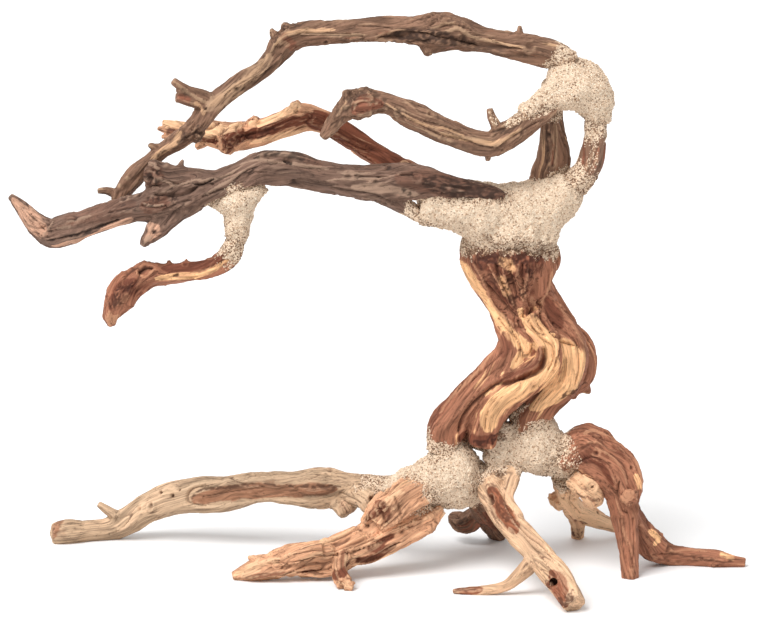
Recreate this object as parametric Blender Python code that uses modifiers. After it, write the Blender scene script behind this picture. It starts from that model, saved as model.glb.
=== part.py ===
"""A small tree made of driftwood pieces, glued together with sand-covered joints.

Every piece of wood and every glued joint is a closed solid of its own. A piece of wood is a set of
limbs: each limb is a curve through a few points, with a ridged section swept along it, and the limbs
of a piece are fused where they fork. Lengths in the tables are millimetres. X is to the right, Y away
from the front and Z up, with the surface that the tree stands on at Z = 0.
"""

import math

import bmesh
import bpy
from mathutils import Vector, noise

MM = 0.001

# The build
STEP = 3.0 * MM             # spacing of the sections along a limb
SECTION_POINTS = 20         # points round a limb's section
VOXEL = 1.1 * MM            # cell that fuses a piece's limbs
JOINT_VOXEL = 1.3 * MM
GAP = 0.45 * MM             # between a piece of wood and the joint round it
LUMP_SIZE = 17.0 * MM       # length over which a limb swells and narrows
LUMP_DEPTH = 0.09           # how much it swells, as a share of its radius
SAND_LUMP_SIZE = 9.0 * MM
SAND_LUMP_DEPTH = 1.2 * MM

# Colour, roughness
FINISHES = {
    "dark_bark": ((0.110, 0.072, 0.050), 0.85),
    "grey_bark": ((0.165, 0.115, 0.085), 0.85),
    "red_wood": ((0.290, 0.120, 0.065), 0.75),
    "orange_wood": ((0.550, 0.290, 0.140), 0.75),
    "pale_wood": ((0.640, 0.390, 0.210), 0.75),
    "tan_wood": ((0.480, 0.330, 0.210), 0.80),
    "sand": ((0.780, 0.660, 0.500), 0.95),
}

# Pieces of wood. A limb's points are x, y, z and its radius there. Ridges run along every limb of a
# piece: how many, how deep as a share of the radius, and how far they turn, in degrees per millimetre.
WOODS = {
    "trunk": {
        "material": "red_wood", "triangles": 1900, "ridges": 4, "depth": 0.1, "twist": 1.2,
        "limbs": [
            # left half of the crown
            [
                (52, 12, 170, 12), (51, 12, 161, 14), (54, 12, 150, 13), (59, 12, 140, 11),
                (65, 12, 131, 9),
            ],
            # right half of the crown
            [
                (73, 13, 170, 12), (73, 13, 161, 14.5), (71, 13, 150, 12.5), (69, 13, 140, 11),
                (70, 13, 129, 9),
            ],
            # front of the crown
            [
                (63, 8, 168, 13), (63, 8, 158, 15), (64, 9, 146, 13), (67, 10, 133, 10),
            ],
            # middle of the crown
            [
                (62, 13, 170, 12), (62, 13, 158, 13), (65, 13, 145, 12),
            ],
            # left rim, the pale ribbon
            [
                (45, 8, 161, 4), (48, 7, 150, 4.5), (56, 5, 138, 5.5), (63, 4, 126, 7),
            ],
            # left strand
            [
                (62, 6, 134, 7), (65, 4, 122, 8.5), (64, 3, 112, 9), (57, 2, 102, 9.5),
                (47, 2, 93, 9), (39, 3, 84, 8.5), (33, 4, 75, 8), (30, 6, 63, 7),
            ],
            # middle strand
            [
                (73, 2, 133, 6.5), (81, -2, 121, 6.5), (82, -4, 111, 6.5), (70, -5, 100, 7.5),
                (57, -4, 90, 8), (51, -2, 79, 7.5), (49, 2, 69, 8),
            ],
            # right strand
            [
                (78, 12, 139, 6), (88, 10, 125, 8.5), (93, 8, 113, 10), (90, 7, 100, 10.5),
                (80, 7, 90, 10), (73, 9, 78, 9), (72, 12, 67, 7),
            ],
            # rear strand
            [
                (77, 18, 152, 5), (84, 23, 136, 5.5), (93, 26, 121, 6), (99, 27, 109, 6.5),
                (99, 25, 97, 6.5), (92, 21, 89, 4.5),
            ],
            # back
            [
                (66, 22, 139, 11), (72, 23, 119, 12), (69, 23, 102, 13), (57, 22, 86, 11),
                (48, 19, 70, 9), (45, 17, 61, 7),
            ],
        ],
    },
    "long_branch": {
        "material": "grey_bark", "triangles": 1150, "ridges": 5, "depth": 0.12, "twist": 1.0,
        "limbs": [
            # from the crown joint to the upturned left tip
            [
                (57, -2, 195, 4), (43, -3, 197, 5.5), (28, -4, 200, 6.5), (11, -5, 202, 9),
                (-3, -5, 201, 8.5), (-16, -6, 202, 7.5), (-31, -7, 205, 7), (-46, -8, 209, 8.5),
                (-60, -9, 209, 8.5), (-70, -10, 206, 7), (-83, -11, 201, 7.5), (-96, -12, 196, 8.5),
                (-110, -12, 192, 8.5), (-124, -12, 190, 6.5), (-140, -11, 185, 6), (-154, -10, 180, 7.5),
                (-164, -9, 177, 7.5), (-171, -8, 180, 5.5), (-177, -7, 187, 3.5),
                (-181, -6, 192, 2.5), (-184, -6, 195, 1.5),
            ],
            # upper fork, which ends in a knot
            [
                (-82, -10, 203, 6), (-94, -10, 204, 5.5), (-106, -10, 205, 6.5), (-116, -11, 207, 6.5),
            ],
            # cut stub that points down
            [
                (-92, -12, 194, 7), (-102, -14, 187, 7), (-111, -16, 181, 5.5), (-118, -18, 174, 4),
            ],
            # ridge under the right half
            [
                (-19, -6, 199, 4.5), (-4, -5, 198, 5.5), (8, -4, 191, 4.5), (20, -3, 183, 3),
            ],
            # thorn
            [
                (-97, -10, 207, 2), (-98, -10, 211, 1),
            ],
        ],
    },
    "top_branch": {
        "material": "dark_bark", "triangles": 1150, "ridges": 5, "depth": 0.12, "twist": 1.4,
        "limbs": [
            # from the upper joint to the left, down to the tip on the long branch
            [
                (94, 11, 259, 5), (80, 10, 264, 7), (62, 11, 267, 6), (47, 12, 270, 6), (35, 12, 273, 8),
                (26, 13, 274, 9.5), (15, 13, 274, 7), (-2, 15, 274, 6), (-24, 17, 273, 6),
                (-41, 19, 271, 6.5), (-50, 20, 266, 6.5), (-59, 19, 256, 4.8), (-73, 16, 246, 4.5),
                (-85, 13, 236, 5), (-93, 10, 227, 4.5), (-101, 7, 221, 4), (-109, 5, 216, 2.5),
                (-114, 3, 210, 3), (-121, 1, 204, 4.2), (-128, -1, 197, 3.8), (-132, -3, 191, 3.2),
            ],
            # upper prong of the left fork
            [
                (-84, 13, 239, 3.5), (-91, 12, 242, 3.5), (-97, 10, 245, 2.5), (-104, 8, 250, 2),
            ],
            # lower prong of the fork
            [
                (-88, 13, 237, 2.5), (-95, 12, 238, 2), (-102, 11, 240, 1.5),
            ],
            # hook at the tip
            [
                (-134, -2, 196, 2.5), (-137, -3, 197, 2), (-141, -4, 197, 1.5),
            ],
            # bump of a lost twig
            [
                (22, 12, 267, 3.5), (22, 8, 263, 2),
            ],
            # thorn
            [
                (67, 10, 271, 2), (67, 11, 277, 1),
            ],
        ],
    },
    "back_branch": {
        "material": "orange_wood", "triangles": 620, "ridges": 4, "depth": 0.1, "twist": 0.8,
        "limbs": [
            # from behind the crown joint to the ragged left end
            [
                (59, 34, 178, 6.5), (39, 35, 187, 6.5), (18, 37, 196, 6.5), (1, 38, 205, 6),
                (-17, 41, 216, 6), (-29, 43, 223, 6), (-41, 44, 226, 7), (-52, 45, 223, 7),
                (-65, 47, 217, 6.5), (-77, 48, 215, 7.5), (-88, 49, 217, 6.5), (-98, 50, 219, 4),
                (-107, 51, 220, 2.5), (-115, 52, 221, 1.5),
            ],
            # bare knuckle on top
            [
                (-43, 44, 229, 4.5), (-45, 43, 234, 2.5),
            ],
            # lower stub at the ragged end
            [
                (-90, 48, 213, 3), (-95, 47, 210, 1.5),
            ],
        ],
    },
    "middle_branch": {
        "material": "dark_bark", "triangles": 720, "ridges": 5, "depth": 0.12, "twist": 1.2,
        "limbs": [
            # from the upper joint, through its elbow, to the broken left end
            [
                (85, 8, 241, 5.5), (78, 5, 235, 6), (67, 1, 228, 6), (57, -3, 222, 6.5),
                (51, -5, 220, 6), (40, -6, 223, 5.5), (28, -7, 228, 6), (14, -8, 235, 6.5),
                (2, -9, 241, 5), (-8, -10, 242, 6.5), (-15, -11, 241, 6), (-21, -12, 236, 4.5),
                (-26, -13, 230, 3.5), (-30, -14, 225, 2),
            ],
            # upper tip of the broken end
            [
                (-14, -11, 241, 4), (-17, -12, 246, 2.5),
            ],
            # left tip of the broken end
            [
                (-19, -12, 238, 3), (-22, -13, 238, 1.5),
            ],
            # peg above the elbow
            [
                (57, -3, 226, 3), (53, -4, 234, 2), (52, -4, 238, 1.5),
            ],
            # thorn below the elbow
            [
                (52, -5, 219, 3), (51, -5, 212, 1),
            ],
        ],
    },
    "rear_strut": {
        "material": "dark_bark", "triangles": 160, "ridges": 4, "depth": 0.1, "twist": 1.0,
        "limbs": [
            # from the upper joint down to the crown joint
            [
                (85, 19, 239, 5), (84, 21, 228, 5.5), (85, 22, 217, 6.5), (85, 22, 208, 7.5),
                (82, 23, 200, 8), (79, 23, 193, 6),
            ],
        ],
    },
    "right_strut": {
        "material": "dark_bark", "triangles": 200, "ridges": 4, "depth": 0.12, "twist": 1.0,
        "limbs": [
            # from the upper joint down to the crown joint, bowed to the right
            [
                (104, 11, 238, 5), (105, 12, 229, 6), (105, 12, 220, 6), (103, 12, 211, 6.5),
                (100, 12, 203, 6.5), (94, 12, 196, 6.5), (88, 12, 189, 5.5),
            ],
        ],
    },
    "hanging_twig": {
        "material": "red_wood", "triangles": 460, "ridges": 4, "depth": 0.14, "twist": 1.5,
        "limbs": [
            # down from its joint, to the left and down again
            [
                (-72, -10, 181, 3.5), (-73, -10, 174, 4.5), (-76, -10, 166, 5.5), (-83, -10, 160, 5),
                (-93, -11, 158, 5), (-105, -11, 157, 5), (-115, -12, 156, 5.5), (-123, -13, 152, 6),
                (-129, -14, 146, 6), (-133, -14, 140, 5), (-135, -15, 135, 3.5), (-134, -15, 131, 2),
            ],
        ],
    },
    "left_root": {
        "material": "tan_wood", "triangles": 740, "ridges": 4, "depth": 0.08, "twist": 0.5,
        "limbs": [
            # from the left foot joint to the tip that lies on the floor
            [
                (14, 22, 40, 6.5), (1, 26, 39, 6), (-15, 30, 38, 7), (-32, 36, 35, 10.5),
                (-45, 40, 34, 8.5), (-63, 46, 33, 8), (-81, 52, 28, 9), (-95, 56, 26, 9.5),
                (-110, 60, 23, 8.5), (-122, 63, 18, 8), (-132, 65, 11, 7), (-142, 66, 5, 6),
                (-154, 63, 4.5, 5.5), (-165, 59, 5, 6), (-170, 57, 4.5, 4),
            ],
            # knob under the thick end
            [
                (-23, 32, 31, 6), (-19, 28, 26, 4.5),
            ],
            # knot beside the joint
            [
                (-17, 28, 35, 5), (-10, 22, 33, 5),
            ],
            # dead twig near the tip
            [
                (-138, 65, 12, 3), (-144, 66, 14, 2), (-150, 67, 18, 1),
            ],
        ],
    },
    "front_left_root": {
        "material": "orange_wood", "triangles": 640, "ridges": 5, "depth": 0.15, "twist": 1.0,
        "limbs": [
            # from the left foot joint to the ragged tip on the floor
            [
                (20, 8, 40, 8), (12, 5, 33, 9), (3, 1, 26, 9.5), (-8, -3, 19, 8), (-17, -6, 15, 8),
                (-29, -9, 11, 9), (-42, -11, 10, 8.5), (-54, -12, 8, 7), (-64, -12, 5, 5.5),
                (-72, -11, 3, 3.5), (-76, -11, 2, 2),
            ],
            # side foot, forwards and down
            [
                (-20, -12, 13, 4.5), (-22, -21, 8, 4), (-19, -29, 3, 4),
            ],
            # toe of the side foot
            [
                (-19, -29, 3, 3), (-15, -30, 2, 2),
            ],
            # prong beside the joint
            [
                (17, 5, 35, 6), (24, 2, 28, 5.5),
            ],
            # raised flake at the tip
            [
                (-61, -12, 10, 3), (-68, -12, 12, 1),
            ],
        ],
    },
    "front_root": {
        "material": "pale_wood", "triangles": 740, "ridges": 4, "depth": 0.1, "twist": 1.0,
        "limbs": [
            # dark limb from the foot joint, forwards and down to the thick tip
            [
                (51, 8, 50, 5.5), (54, 3, 43, 6.5), (59, -8, 36, 6.5), (65, -21, 30, 6),
                (73, -35, 24, 6), (81, -48, 18, 7), (87, -58, 12, 7.5), (93, -68, 4, 6),
            ],
            # pale limb beside it
            [
                (67, 8, 55, 4), (64, 2, 47, 4), (62, -6, 40, 3.5), (67, -18, 33, 4),
            ],
            # slim side root to the left
            [
                (75, -40, 19, 4.5), (66, -39, 12, 3.5), (59, -38, 6, 2.5), (49, -37, 2, 2.5),
                (39, -36, 1.5, 2), (34, -36, 1.5, 1),
            ],
        ],
    },
    "back_root": {
        "material": "dark_bark", "triangles": 240, "ridges": 4, "depth": 0.12, "twist": 1.0,
        "limbs": [
            # from the left foot joint, backwards and down
            [
                (44, 21, 42, 6), (50, 37, 28, 7.5), (55, 53, 16, 7), (61, 68, 4, 6),
            ],
            # prong to the left
            [
                (50, 48, 18, 4.5), (43, 54, 13, 4.5), (35, 60, 13, 1.5),
            ],
        ],
    },
    "arch_root": {
        "material": "red_wood", "triangles": 1020, "ridges": 5, "depth": 0.12, "twist": 1.2,
        "limbs": [
            # over the arch and down the leg
            [
                (90, 9, 57, 10), (99, 6, 63, 11.5), (107, 3, 60, 11), (114, 1, 53, 10.5),
                (119, -1, 45, 9.5), (121, -2, 37, 7.5), (122, -3, 26, 6), (123, -5, 15, 5),
                (124, -6, -1, 4.5),
            ],
            # right leg, along the floor to its tip
            [
                (121, 2, 38, 6), (129, 7, 26, 5), (137, 15, 13, 7), (145, 18, 5, 5.5),
                (156, 17, 4, 4.5), (169, 14, 4, 4.5), (177, 13, 3, 3), (184, 13, 2, 2.5),
            ],
            # cut knot on the front
            [
                (123, -4, 42, 4.5), (123, -14, 43, 3.5),
            ],
            # short stub above the right leg
            [
                (135, 14, 16, 3.5), (142, 16, 15, 2),
            ],
            # hook under the right leg
            [
                (167, 13, 3, 2.5), (169, 11, 1, 1.5),
            ],
        ],
    },
    "pale_root": {
        "material": "tan_wood", "triangles": 420, "ridges": 4, "depth": 0.1, "twist": 1.0,
        "limbs": [
            # from the right foot joint, backwards and down
            [
                (91, 16, 46, 6), (93, 26, 36, 6), (97, 40, 25, 5.5), (101, 55, 14, 4.5),
                (102, 69, -1, 3),
            ],
            # cut nub that looks forwards
            [
                (96, 22, 39, 5.5), (103, 12, 45, 6.5), (108, 8, 40, 4.5),
            ],
            # right leg, behind the arch
            [
                (98, 44, 22, 4.5), (108, 54, 15, 4), (119, 64, 8, 3.5), (130, 70, 2, 2.5),
            ],
            # knob on the left
            [
                (91, 32, 32, 3.5), (89, 36, 30, 2.5),
            ],
        ],
    },
}

# Glued joints, coated with sand and grit, each a lumpy mass round the ends of the wood it holds
JOINTS = {
    "upper_joint": {
        "triangles": 320,
        "limbs": [
            # from the top branch down to the right strut
            [
                (85, 11, 261, 7.5), (93, 11, 253, 12.5), (101, 11, 246, 12), (105, 11, 237, 8.5),
                (105, 12, 229, 7),
            ],
            # tongue along the middle branch
            [
                (93, 9, 246, 11), (83, 7, 242, 7), (74, 3, 237, 5), (67, 1, 235, 4.5),
            ],
            # round the rear strut
            [
                (88, 16, 247, 10), (85, 19, 237, 7),
            ],
        ],
    },
    "crown_joint": {
        "triangles": 420,
        "limbs": [
            # from the right strut to the long branch's underside
            [
                (94, 12, 198, 8.5), (86, 12, 190, 11.5), (73, 12, 184, 16), (58, 11, 183, 17.5),
                (43, 8, 185, 15), (31, 4, 187, 11), (18, 1, 189, 7),
            ],
            # seat on the trunk's crown
            [
                (51, 12, 172, 13), (63, 11, 172, 14), (75, 12, 172, 13),
            ],
            # round the back branch
            [
                (58, 26, 184, 13), (81, 22, 195, 9),
            ],
        ],
    },
    "twig_joint": {
        "triangles": 180,
        "limbs": [
            # neck down to the hanging twig
            [
                (-73, -9, 199, 10), (-72, -10, 194, 9), (-71, -10, 187, 6.5), (-72, -10, 180, 6),
                (-73, -10, 172, 5.5),
            ],
            # collar under the long branch
            [
                (-88, -10, 195, 3), (-79, -10, 196, 6), (-69, -10, 198, 6.5), (-57, -9, 201, 3),
            ],
        ],
    },
    "left_foot_joint": {
        "triangles": 320,
        "limbs": [
            # from the trunk down to the back root
            [
                (30, 6, 65, 8.5), (34, 8, 55, 13.5), (35, 12, 46, 13), (42, 21, 40, 9.5),
            ],
            # along the left root
            [
                (31, 10, 49, 12), (19, 15, 44, 9.5), (7, 21, 40, 6.5), (-2, 26, 38, 4.5),
            ],
            # over the front left root
            [
                (28, 4, 48, 12), (17, 4, 42, 7.5),
            ],
            # round the front root
            [
                (45, 8, 52, 9), (46, 12, 43, 7.5),
            ],
        ],
    },
    "right_foot_joint": {
        "triangles": 300,
        "limbs": [
            # from the trunk down to the front root
            [
                (74, 11, 79, 10), (76, 11, 69, 12.5), (77, 11, 58, 11), (75, 10, 51, 7),
            ],
            # round the arch root and the pale root
            [
                (83, 10, 63, 11), (90, 10, 58, 9.5), (90, 12, 49, 7.5),
            ],
            # left edge
            [
                (67, 10, 69, 6.5), (67, 9, 58, 5.5), (68, 8, 52, 5),
            ],
        ],
    },
}

# Hollows in a piece of wood, each the space of a limb like those above
HOLLOWS = {
    # the broken front of the crown, narrowing downwards
    "trunk": [[(62, -14, 158, 4), (62, -11, 151, 7.5), (66, -7, 141, 5), (69, -4, 131, 2)]],
    # the long groove along the front of the left root
    "left_root": [[
        (-98, 45, 25, 1.5), (-91, 43, 25.5, 4), (-77, 37, 29, 4.5), (-61, 30, 32, 4.5),
        (-45, 24, 33, 4.5), (-33, 18, 33.5, 4), (-27, 16, 33, 1.5),
    ]],
    # the knot hole near the front root's tip
    "front_root": [[(82, -71, 15, 2.5), (83.5, -57, 13, 2)]],
    # the open split near the twig's elbow
    "hanging_twig": [[(-120, -20, 159, 1), (-116, -19, 161, 2.5), (-110, -18, 161.5, 1.5)]],
    # the dark seam between the two forks of the long branch
    "long_branch": [[
        (-117, -21, 197, 1.5), (-107, -22, 198.5, 3), (-95, -21, 200.5, 2.5), (-83, -21, 202, 1),
    ]],
}

# A piece that lies against another is cut clear of it.
RESTS_ON = {"top_branch": "long_branch", "pale_root": "arch_root"}


def clear_scene():
    for thing in list(bpy.data.objects):
        bpy.data.objects.remove(thing, do_unlink=True)


def collection(name):
    made = bpy.data.collections.new(name)
    bpy.context.scene.collection.children.link(made)
    return made


def material(name):
    """The Principled material of a finish."""
    made = bpy.data.materials.get(name)
    if made is None:
        colour, roughness = FINISHES[name]
        made = bpy.data.materials.new(name)
        made.use_nodes = True
        shader = made.node_tree.nodes["Principled BSDF"]
        shader.inputs["Base Color"].default_value = (*colour, 1.0)
        shader.inputs["Roughness"].default_value = roughness
        shader.inputs["Metallic"].default_value = 0.0
    return made


def smooth_route(route):
    """Rows (point, radius) every STEP along a smooth curve through a route's points, in metres."""
    rows = [Vector(row) * MM for row in route]
    rows = [rows[0] * 2 - rows[1]] + rows + [rows[-1] * 2 - rows[-2]]
    made = []
    for before, start, end, after in zip(rows, rows[1:], rows[2:], rows[3:]):
        count = max(1, round((end.xyz - start.xyz).length / STEP))
        for index in range(count):
            t = index / count
            row = 0.5 * (
                2 * start + (end - before) * t
                + (2 * before - 5 * start + 4 * end - after) * t ** 2
                + (3 * start - before - 3 * end + after) * t ** 3
            )
            made.append((row.xyz, row.w))
    made.append((rows[-2].xyz, rows[-2].w))
    return made


def section(ridges, depth):
    """A closed ridged outline of unit radius, as a curve object that a limb uses as its bevel."""
    curve = bpy.data.curves.new("section", "CURVE")
    curve.dimensions = "2D"
    spline = curve.splines.new("POLY")
    spline.points.add(SECTION_POINTS - 1)
    for index, point in enumerate(spline.points):
        angle = math.tau * index / SECTION_POINTS
        radius = 1.0 + depth * math.cos(ridges * angle) + 0.5 * depth * math.cos(2 * angle + 1.0)
        point.co = (radius * math.cos(angle), radius * math.sin(angle), 0.0, 1.0)
    spline.use_cyclic_u = True
    made = bpy.data.objects.new("section", curve)
    bpy.context.scene.collection.objects.link(made)
    return made


def remove_object(thing):
    data = thing.data
    bpy.data.objects.remove(thing, do_unlink=True)
    if isinstance(data, bpy.types.Curve):
        bpy.data.curves.remove(data)
    else:
        bpy.data.meshes.remove(data)


def evaluated_mesh(thing):
    depsgraph = bpy.context.evaluated_depsgraph_get()
    return bpy.data.meshes.new_from_object(thing.evaluated_get(depsgraph), depsgraph=depsgraph)


def apply_modifiers(thing):
    made = evaluated_mesh(thing)
    old = thing.data
    thing.modifiers.clear()
    thing.data = made
    bpy.data.meshes.remove(old)


def limb_mesh(route, ridges, depth, twist, seed):
    """One limb as a mesh: a section swept along a smooth route, swollen here and there."""
    profile = section(ridges, depth)
    rows = smooth_route(route)
    curve = bpy.data.curves.new("limb", "CURVE")
    curve.dimensions = "3D"
    curve.bevel_mode = "OBJECT"
    curve.bevel_object = profile
    curve.use_fill_caps = True
    spline = curve.splines.new("POLY")
    spline.points.add(len(rows) - 1)
    for index, (point, (place, radius)) in enumerate(zip(spline.points, rows)):
        swell = 1.0 + LUMP_DEPTH * noise.noise(place / LUMP_SIZE + Vector((seed, 0, 0)))
        point.co = (*place, 1.0)
        point.radius = radius * swell
        point.tilt = math.radians(twist) * index * STEP / MM
    limb = bpy.data.objects.new("limb", curve)
    bpy.context.scene.collection.objects.link(limb)
    made = evaluated_mesh(limb)
    remove_object(limb)
    remove_object(profile)
    return made


def fused(name, limbs, where, voxel, ridges, depth, twist):
    """An object of all the limbs, fused into one closed body."""
    mesh = bmesh.new()
    for seed, route in enumerate(limbs):
        limb = limb_mesh(route, ridges, depth, twist, seed)
        mesh.from_mesh(limb)
        bpy.data.meshes.remove(limb)
    bmesh.ops.remove_doubles(mesh, verts=mesh.verts, dist=0.01 * MM)
    data = bpy.data.meshes.new(name)
    mesh.to_mesh(data)
    mesh.free()
    made = bpy.data.objects.new(name, data)
    where.objects.link(made)
    remesh = made.modifiers.new("Fuse", "REMESH")
    remesh.mode = "VOXEL"
    remesh.voxel_size = voxel
    apply_modifiers(made)
    return made


def cut(thing, cutters):
    for cutter in cutters:
        boolean = thing.modifiers.new("Cut", "BOOLEAN")
        boolean.operation = "DIFFERENCE"
        boolean.object = cutter
    apply_modifiers(thing)


def decimate(thing, triangles):
    """Fewer faces, more of them where the shape turns."""
    count = sum(len(face.vertices) - 2 for face in thing.data.polygons)
    fewer = thing.modifiers.new("Fewer", "DECIMATE")
    fewer.ratio = min(1.0, triangles / count)
    fewer.use_collapse_triangulate = True
    apply_modifiers(thing)


def stand_on_floor(thing):
    """Cut off what reaches below the floor, which leaves a small flat spot to stand on."""
    mesh = bmesh.new()
    mesh.from_mesh(thing.data)
    if min(vertex.co.z for vertex in mesh.verts) < 0:
        bmesh.ops.bisect_plane(
            mesh, geom=mesh.verts[:] + mesh.edges[:] + mesh.faces[:], dist=0.001 * MM,
            plane_co=(0, 0, 0), plane_no=(0, 0, -1), clear_outer=True)
        open_edges = [edge for edge in mesh.edges if edge.is_boundary]
        bmesh.ops.holes_fill(mesh, edges=open_edges)
        bmesh.ops.triangulate(mesh, faces=mesh.faces)
        mesh.to_mesh(thing.data)
    mesh.free()


def keep_largest(thing):
    """Drop any crumb that a cut leaves beside the main body."""
    mesh = bmesh.new()
    mesh.from_mesh(thing.data)
    bodies = []
    left = set(mesh.faces)
    while left:
        front = [left.pop()]
        body = set(front)
        while front:
            for edge in front.pop().edges:
                for face in edge.link_faces:
                    if face in left:
                        left.remove(face)
                        body.add(face)
                        front.append(face)
        bodies.append(body)
    largest = max(bodies, key=len)
    crumbs = [face for body in bodies if body is not largest for face in body]
    bmesh.ops.delete(mesh, geom=crumbs, context="FACES")
    mesh.to_mesh(thing.data)
    mesh.free()


def grown_copy(thing, where):
    """A cutter: the piece of wood, larger all round by the gap."""
    made = bpy.data.objects.new("grown_" + thing.name, thing.data.copy())
    where.objects.link(made)
    made.hide_render = True
    made.display_type = "WIRE"
    grow = made.modifiers.new("Grow", "DISPLACE")
    grow.strength = GAP
    grow.mid_level = 0.0
    apply_modifiers(made)
    return made


def make_wood(name, build, parts, cutters):
    spec = WOODS[name]
    made = fused(name, spec["limbs"], parts, VOXEL, spec["ridges"], spec["depth"], spec["twist"])
    for index, route in enumerate(HOLLOWS.get(name, [])):
        hollow = fused(f"{name}_hollow_{index + 1}", [route], cutters, VOXEL, 3, 0.0, 0.0)
        hollow.hide_render = True
        hollow.display_type = "WIRE"
        cut(made, [hollow])
        remove_object(hollow)
    decimate(made, spec["triangles"])
    if name in RESTS_ON:
        cut(made, [build["grown_" + RESTS_ON[name]]])
    stand_on_floor(made)
    keep_largest(made)
    made.data.materials.clear()
    made.data.materials.append(material(spec["material"]))
    build["grown_" + name] = grown_copy(made, cutters)


def roughen(thing, seed):
    """Push a sand-covered joint's surface in and out in low lumps."""
    for vertex, normal in [(v, v.normal.copy()) for v in thing.data.vertices]:
        height = noise.fractal(vertex.co / SAND_LUMP_SIZE + Vector((seed, seed, 0)), 1.0, 2.0, 2)
        vertex.co += normal * height * SAND_LUMP_DEPTH


def make_joint(name, seed, build, parts):
    spec = JOINTS[name]
    made = fused(name, spec["limbs"], parts, JOINT_VOXEL, 3, 0.0, 0.0)
    roughen(made, seed)
    decimate(made, spec["triangles"])
    box = [Vector(corner) for corner in made.bound_box]
    near = [cutter for cutter in build.values() if meets(box, cutter)]
    cut(made, near)
    keep_largest(made)
    made.data.materials.clear()
    made.data.materials.append(material("sand"))


def meets(box, other):
    corners = [Vector(corner) for corner in other.bound_box]
    return all(
        min(c[axis] for c in box) < max(c[axis] for c in corners)
        and min(c[axis] for c in corners) < max(c[axis] for c in box)
        for axis in range(3))


def main():
    clear_scene()
    parts = collection("driftwood_tree")
    cutters = collection("cutters")
    build = {}
    for name in WOODS:
        make_wood(name, build, parts, cutters)
    for seed, name in enumerate(JOINTS):
        make_joint(name, seed, build, parts)


main()
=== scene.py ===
"""A small tree made of driftwood pieces, glued together with sand-covered joints, on a white studio table.

Each piece of wood is swept along its limbs, fused, carved along its grain and coloured in layers: bark,
bare wood, red heartwood, pale worn streaks and dark cracks, with painted highlights on its crests and
ridges and painted shade in its cracks, grooves, holes and furrows. Each glued joint is a lumpy mass
covered in grains of sand, some of which lie on the wood beside it, with painted shade in its hollows.
Lengths in the tables are millimetres. X is to the right, Y away from the front and Z up, with the table
at Z = 0.
"""

import math

import bpy
import numpy as np
from bpy.props import FloatProperty, FloatVectorProperty, PointerProperty
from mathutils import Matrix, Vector, noise as soft_noise


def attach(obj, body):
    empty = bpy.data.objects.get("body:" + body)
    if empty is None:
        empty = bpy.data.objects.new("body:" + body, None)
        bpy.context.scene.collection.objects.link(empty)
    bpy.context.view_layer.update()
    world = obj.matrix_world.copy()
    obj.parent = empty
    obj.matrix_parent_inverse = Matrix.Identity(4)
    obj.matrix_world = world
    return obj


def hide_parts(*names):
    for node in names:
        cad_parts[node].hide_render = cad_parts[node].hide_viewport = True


bl_info = {
    "name": "Driftwood Tree",
    "version": (1, 0, 0),
    "blender": (4, 5, 0),
    "location": "3D View > Sidebar > Driftwood",
    "description": "Builds a small tree of glued driftwood with its studio",
    "category": "Add Mesh",
}

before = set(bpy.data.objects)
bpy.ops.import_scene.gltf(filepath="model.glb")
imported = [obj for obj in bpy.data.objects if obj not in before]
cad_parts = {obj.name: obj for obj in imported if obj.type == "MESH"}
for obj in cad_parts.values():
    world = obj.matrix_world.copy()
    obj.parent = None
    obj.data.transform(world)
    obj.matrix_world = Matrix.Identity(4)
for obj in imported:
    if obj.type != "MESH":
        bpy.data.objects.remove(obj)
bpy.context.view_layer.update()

MM = 0.001

# The sweep that both the solids and these pieces start from
SWEEP_STEP = 3.0            # spacing of the sections along a limb
SECTION_POINTS = 28         # points round a limb's section
LUMP_SIZE = 17.0            # length over which a limb swells and narrows
LUMP_DEPTH = 0.09           # how much it swells, as a share of its radius
SAND_LUMP_SIZE = 9.0
SAND_LUMP_DEPTH = 1.2
SAND_FILLET = 22            # rounds of smoothing, at 1 mm faces, that blend a joint into one mass
SAND_COAT = 0.6             # thickness that the smoothing is made up for with
GUIDE_STEP = 1.5            # spacing of the points that grain is measured from

# The camera looks at the tree's middle from the front, and marks are placed as it sees them
VIEW_AIM = (-1.25, 10.0, 133.0)
VIEW_TILT = 12.0            # degrees that it looks down
VIEW_DISTANCE = 1800.0
MARK_STEP = 0.5             # millimetres, at the aim, to one step of a mark's points
MARK_DEPTH = 2.5            # how far above or below a mark's line the wood still takes it
FACING = 0.15               # how far a surface may turn from the camera and still take a mark
END_WIDTH = 0.45            # how wide a mark is at its ends, as a share of its middle

# The stage, in metres except for the sensor
TABLE_SIZE = 60.0
KEY_PLACE = (-0.7, -0.8, 1.5)
SENSOR_WIDTH = 36.0

# Patterns in the wood: how long and how wide one wave of each is, in millimetres
WAVES = {
    "flutes": (55, 8, 8), "furrows": (30, 3.4, 3.4), "cracks": (40, 5.5, 5.5), "cracked": (26, 11, 11),
    "slits": (45, 2.6, 2.6), "slitted": (34, 5, 5), "fibres": (30, 1.4, 1.4), "gnarls": (16, 10, 10),
    "bands": (90, 6, 6), "streaks": (60, 2.0, 2.0), "threads": (40, 1.2, 1.2),
    "waver": (9, 2.2, 2.2), "breaks": (3.0, 1.1, 1.1),
}
LUMP_WAVE = 4.5             # size of the rough lumps, and of the ragged edge of the spilled sand
SPECK_WAVE = 1.3
CRACK_WIDTH = 0.07          # a crack runs where its pattern, from -1 to 1, is this near to zero
SLIT_WIDTH = 0.1
SLIT_DEPTH = 0.45           # as a share of the cracks' depth
FULL_RADIUS = 6.0           # a limb thinner than this has shallower relief
DEEPEST = 0.55              # how deep the relief goes, as a share of the radius
HIGHEST = 0.3
KNOT_WIDTHS = (1.4, 3.2)    # of the scattered knots
KNOT_HEIGHT = 0.45          # of their rims
PIT_DEPTHS = (0.6, 1.3)

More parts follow.
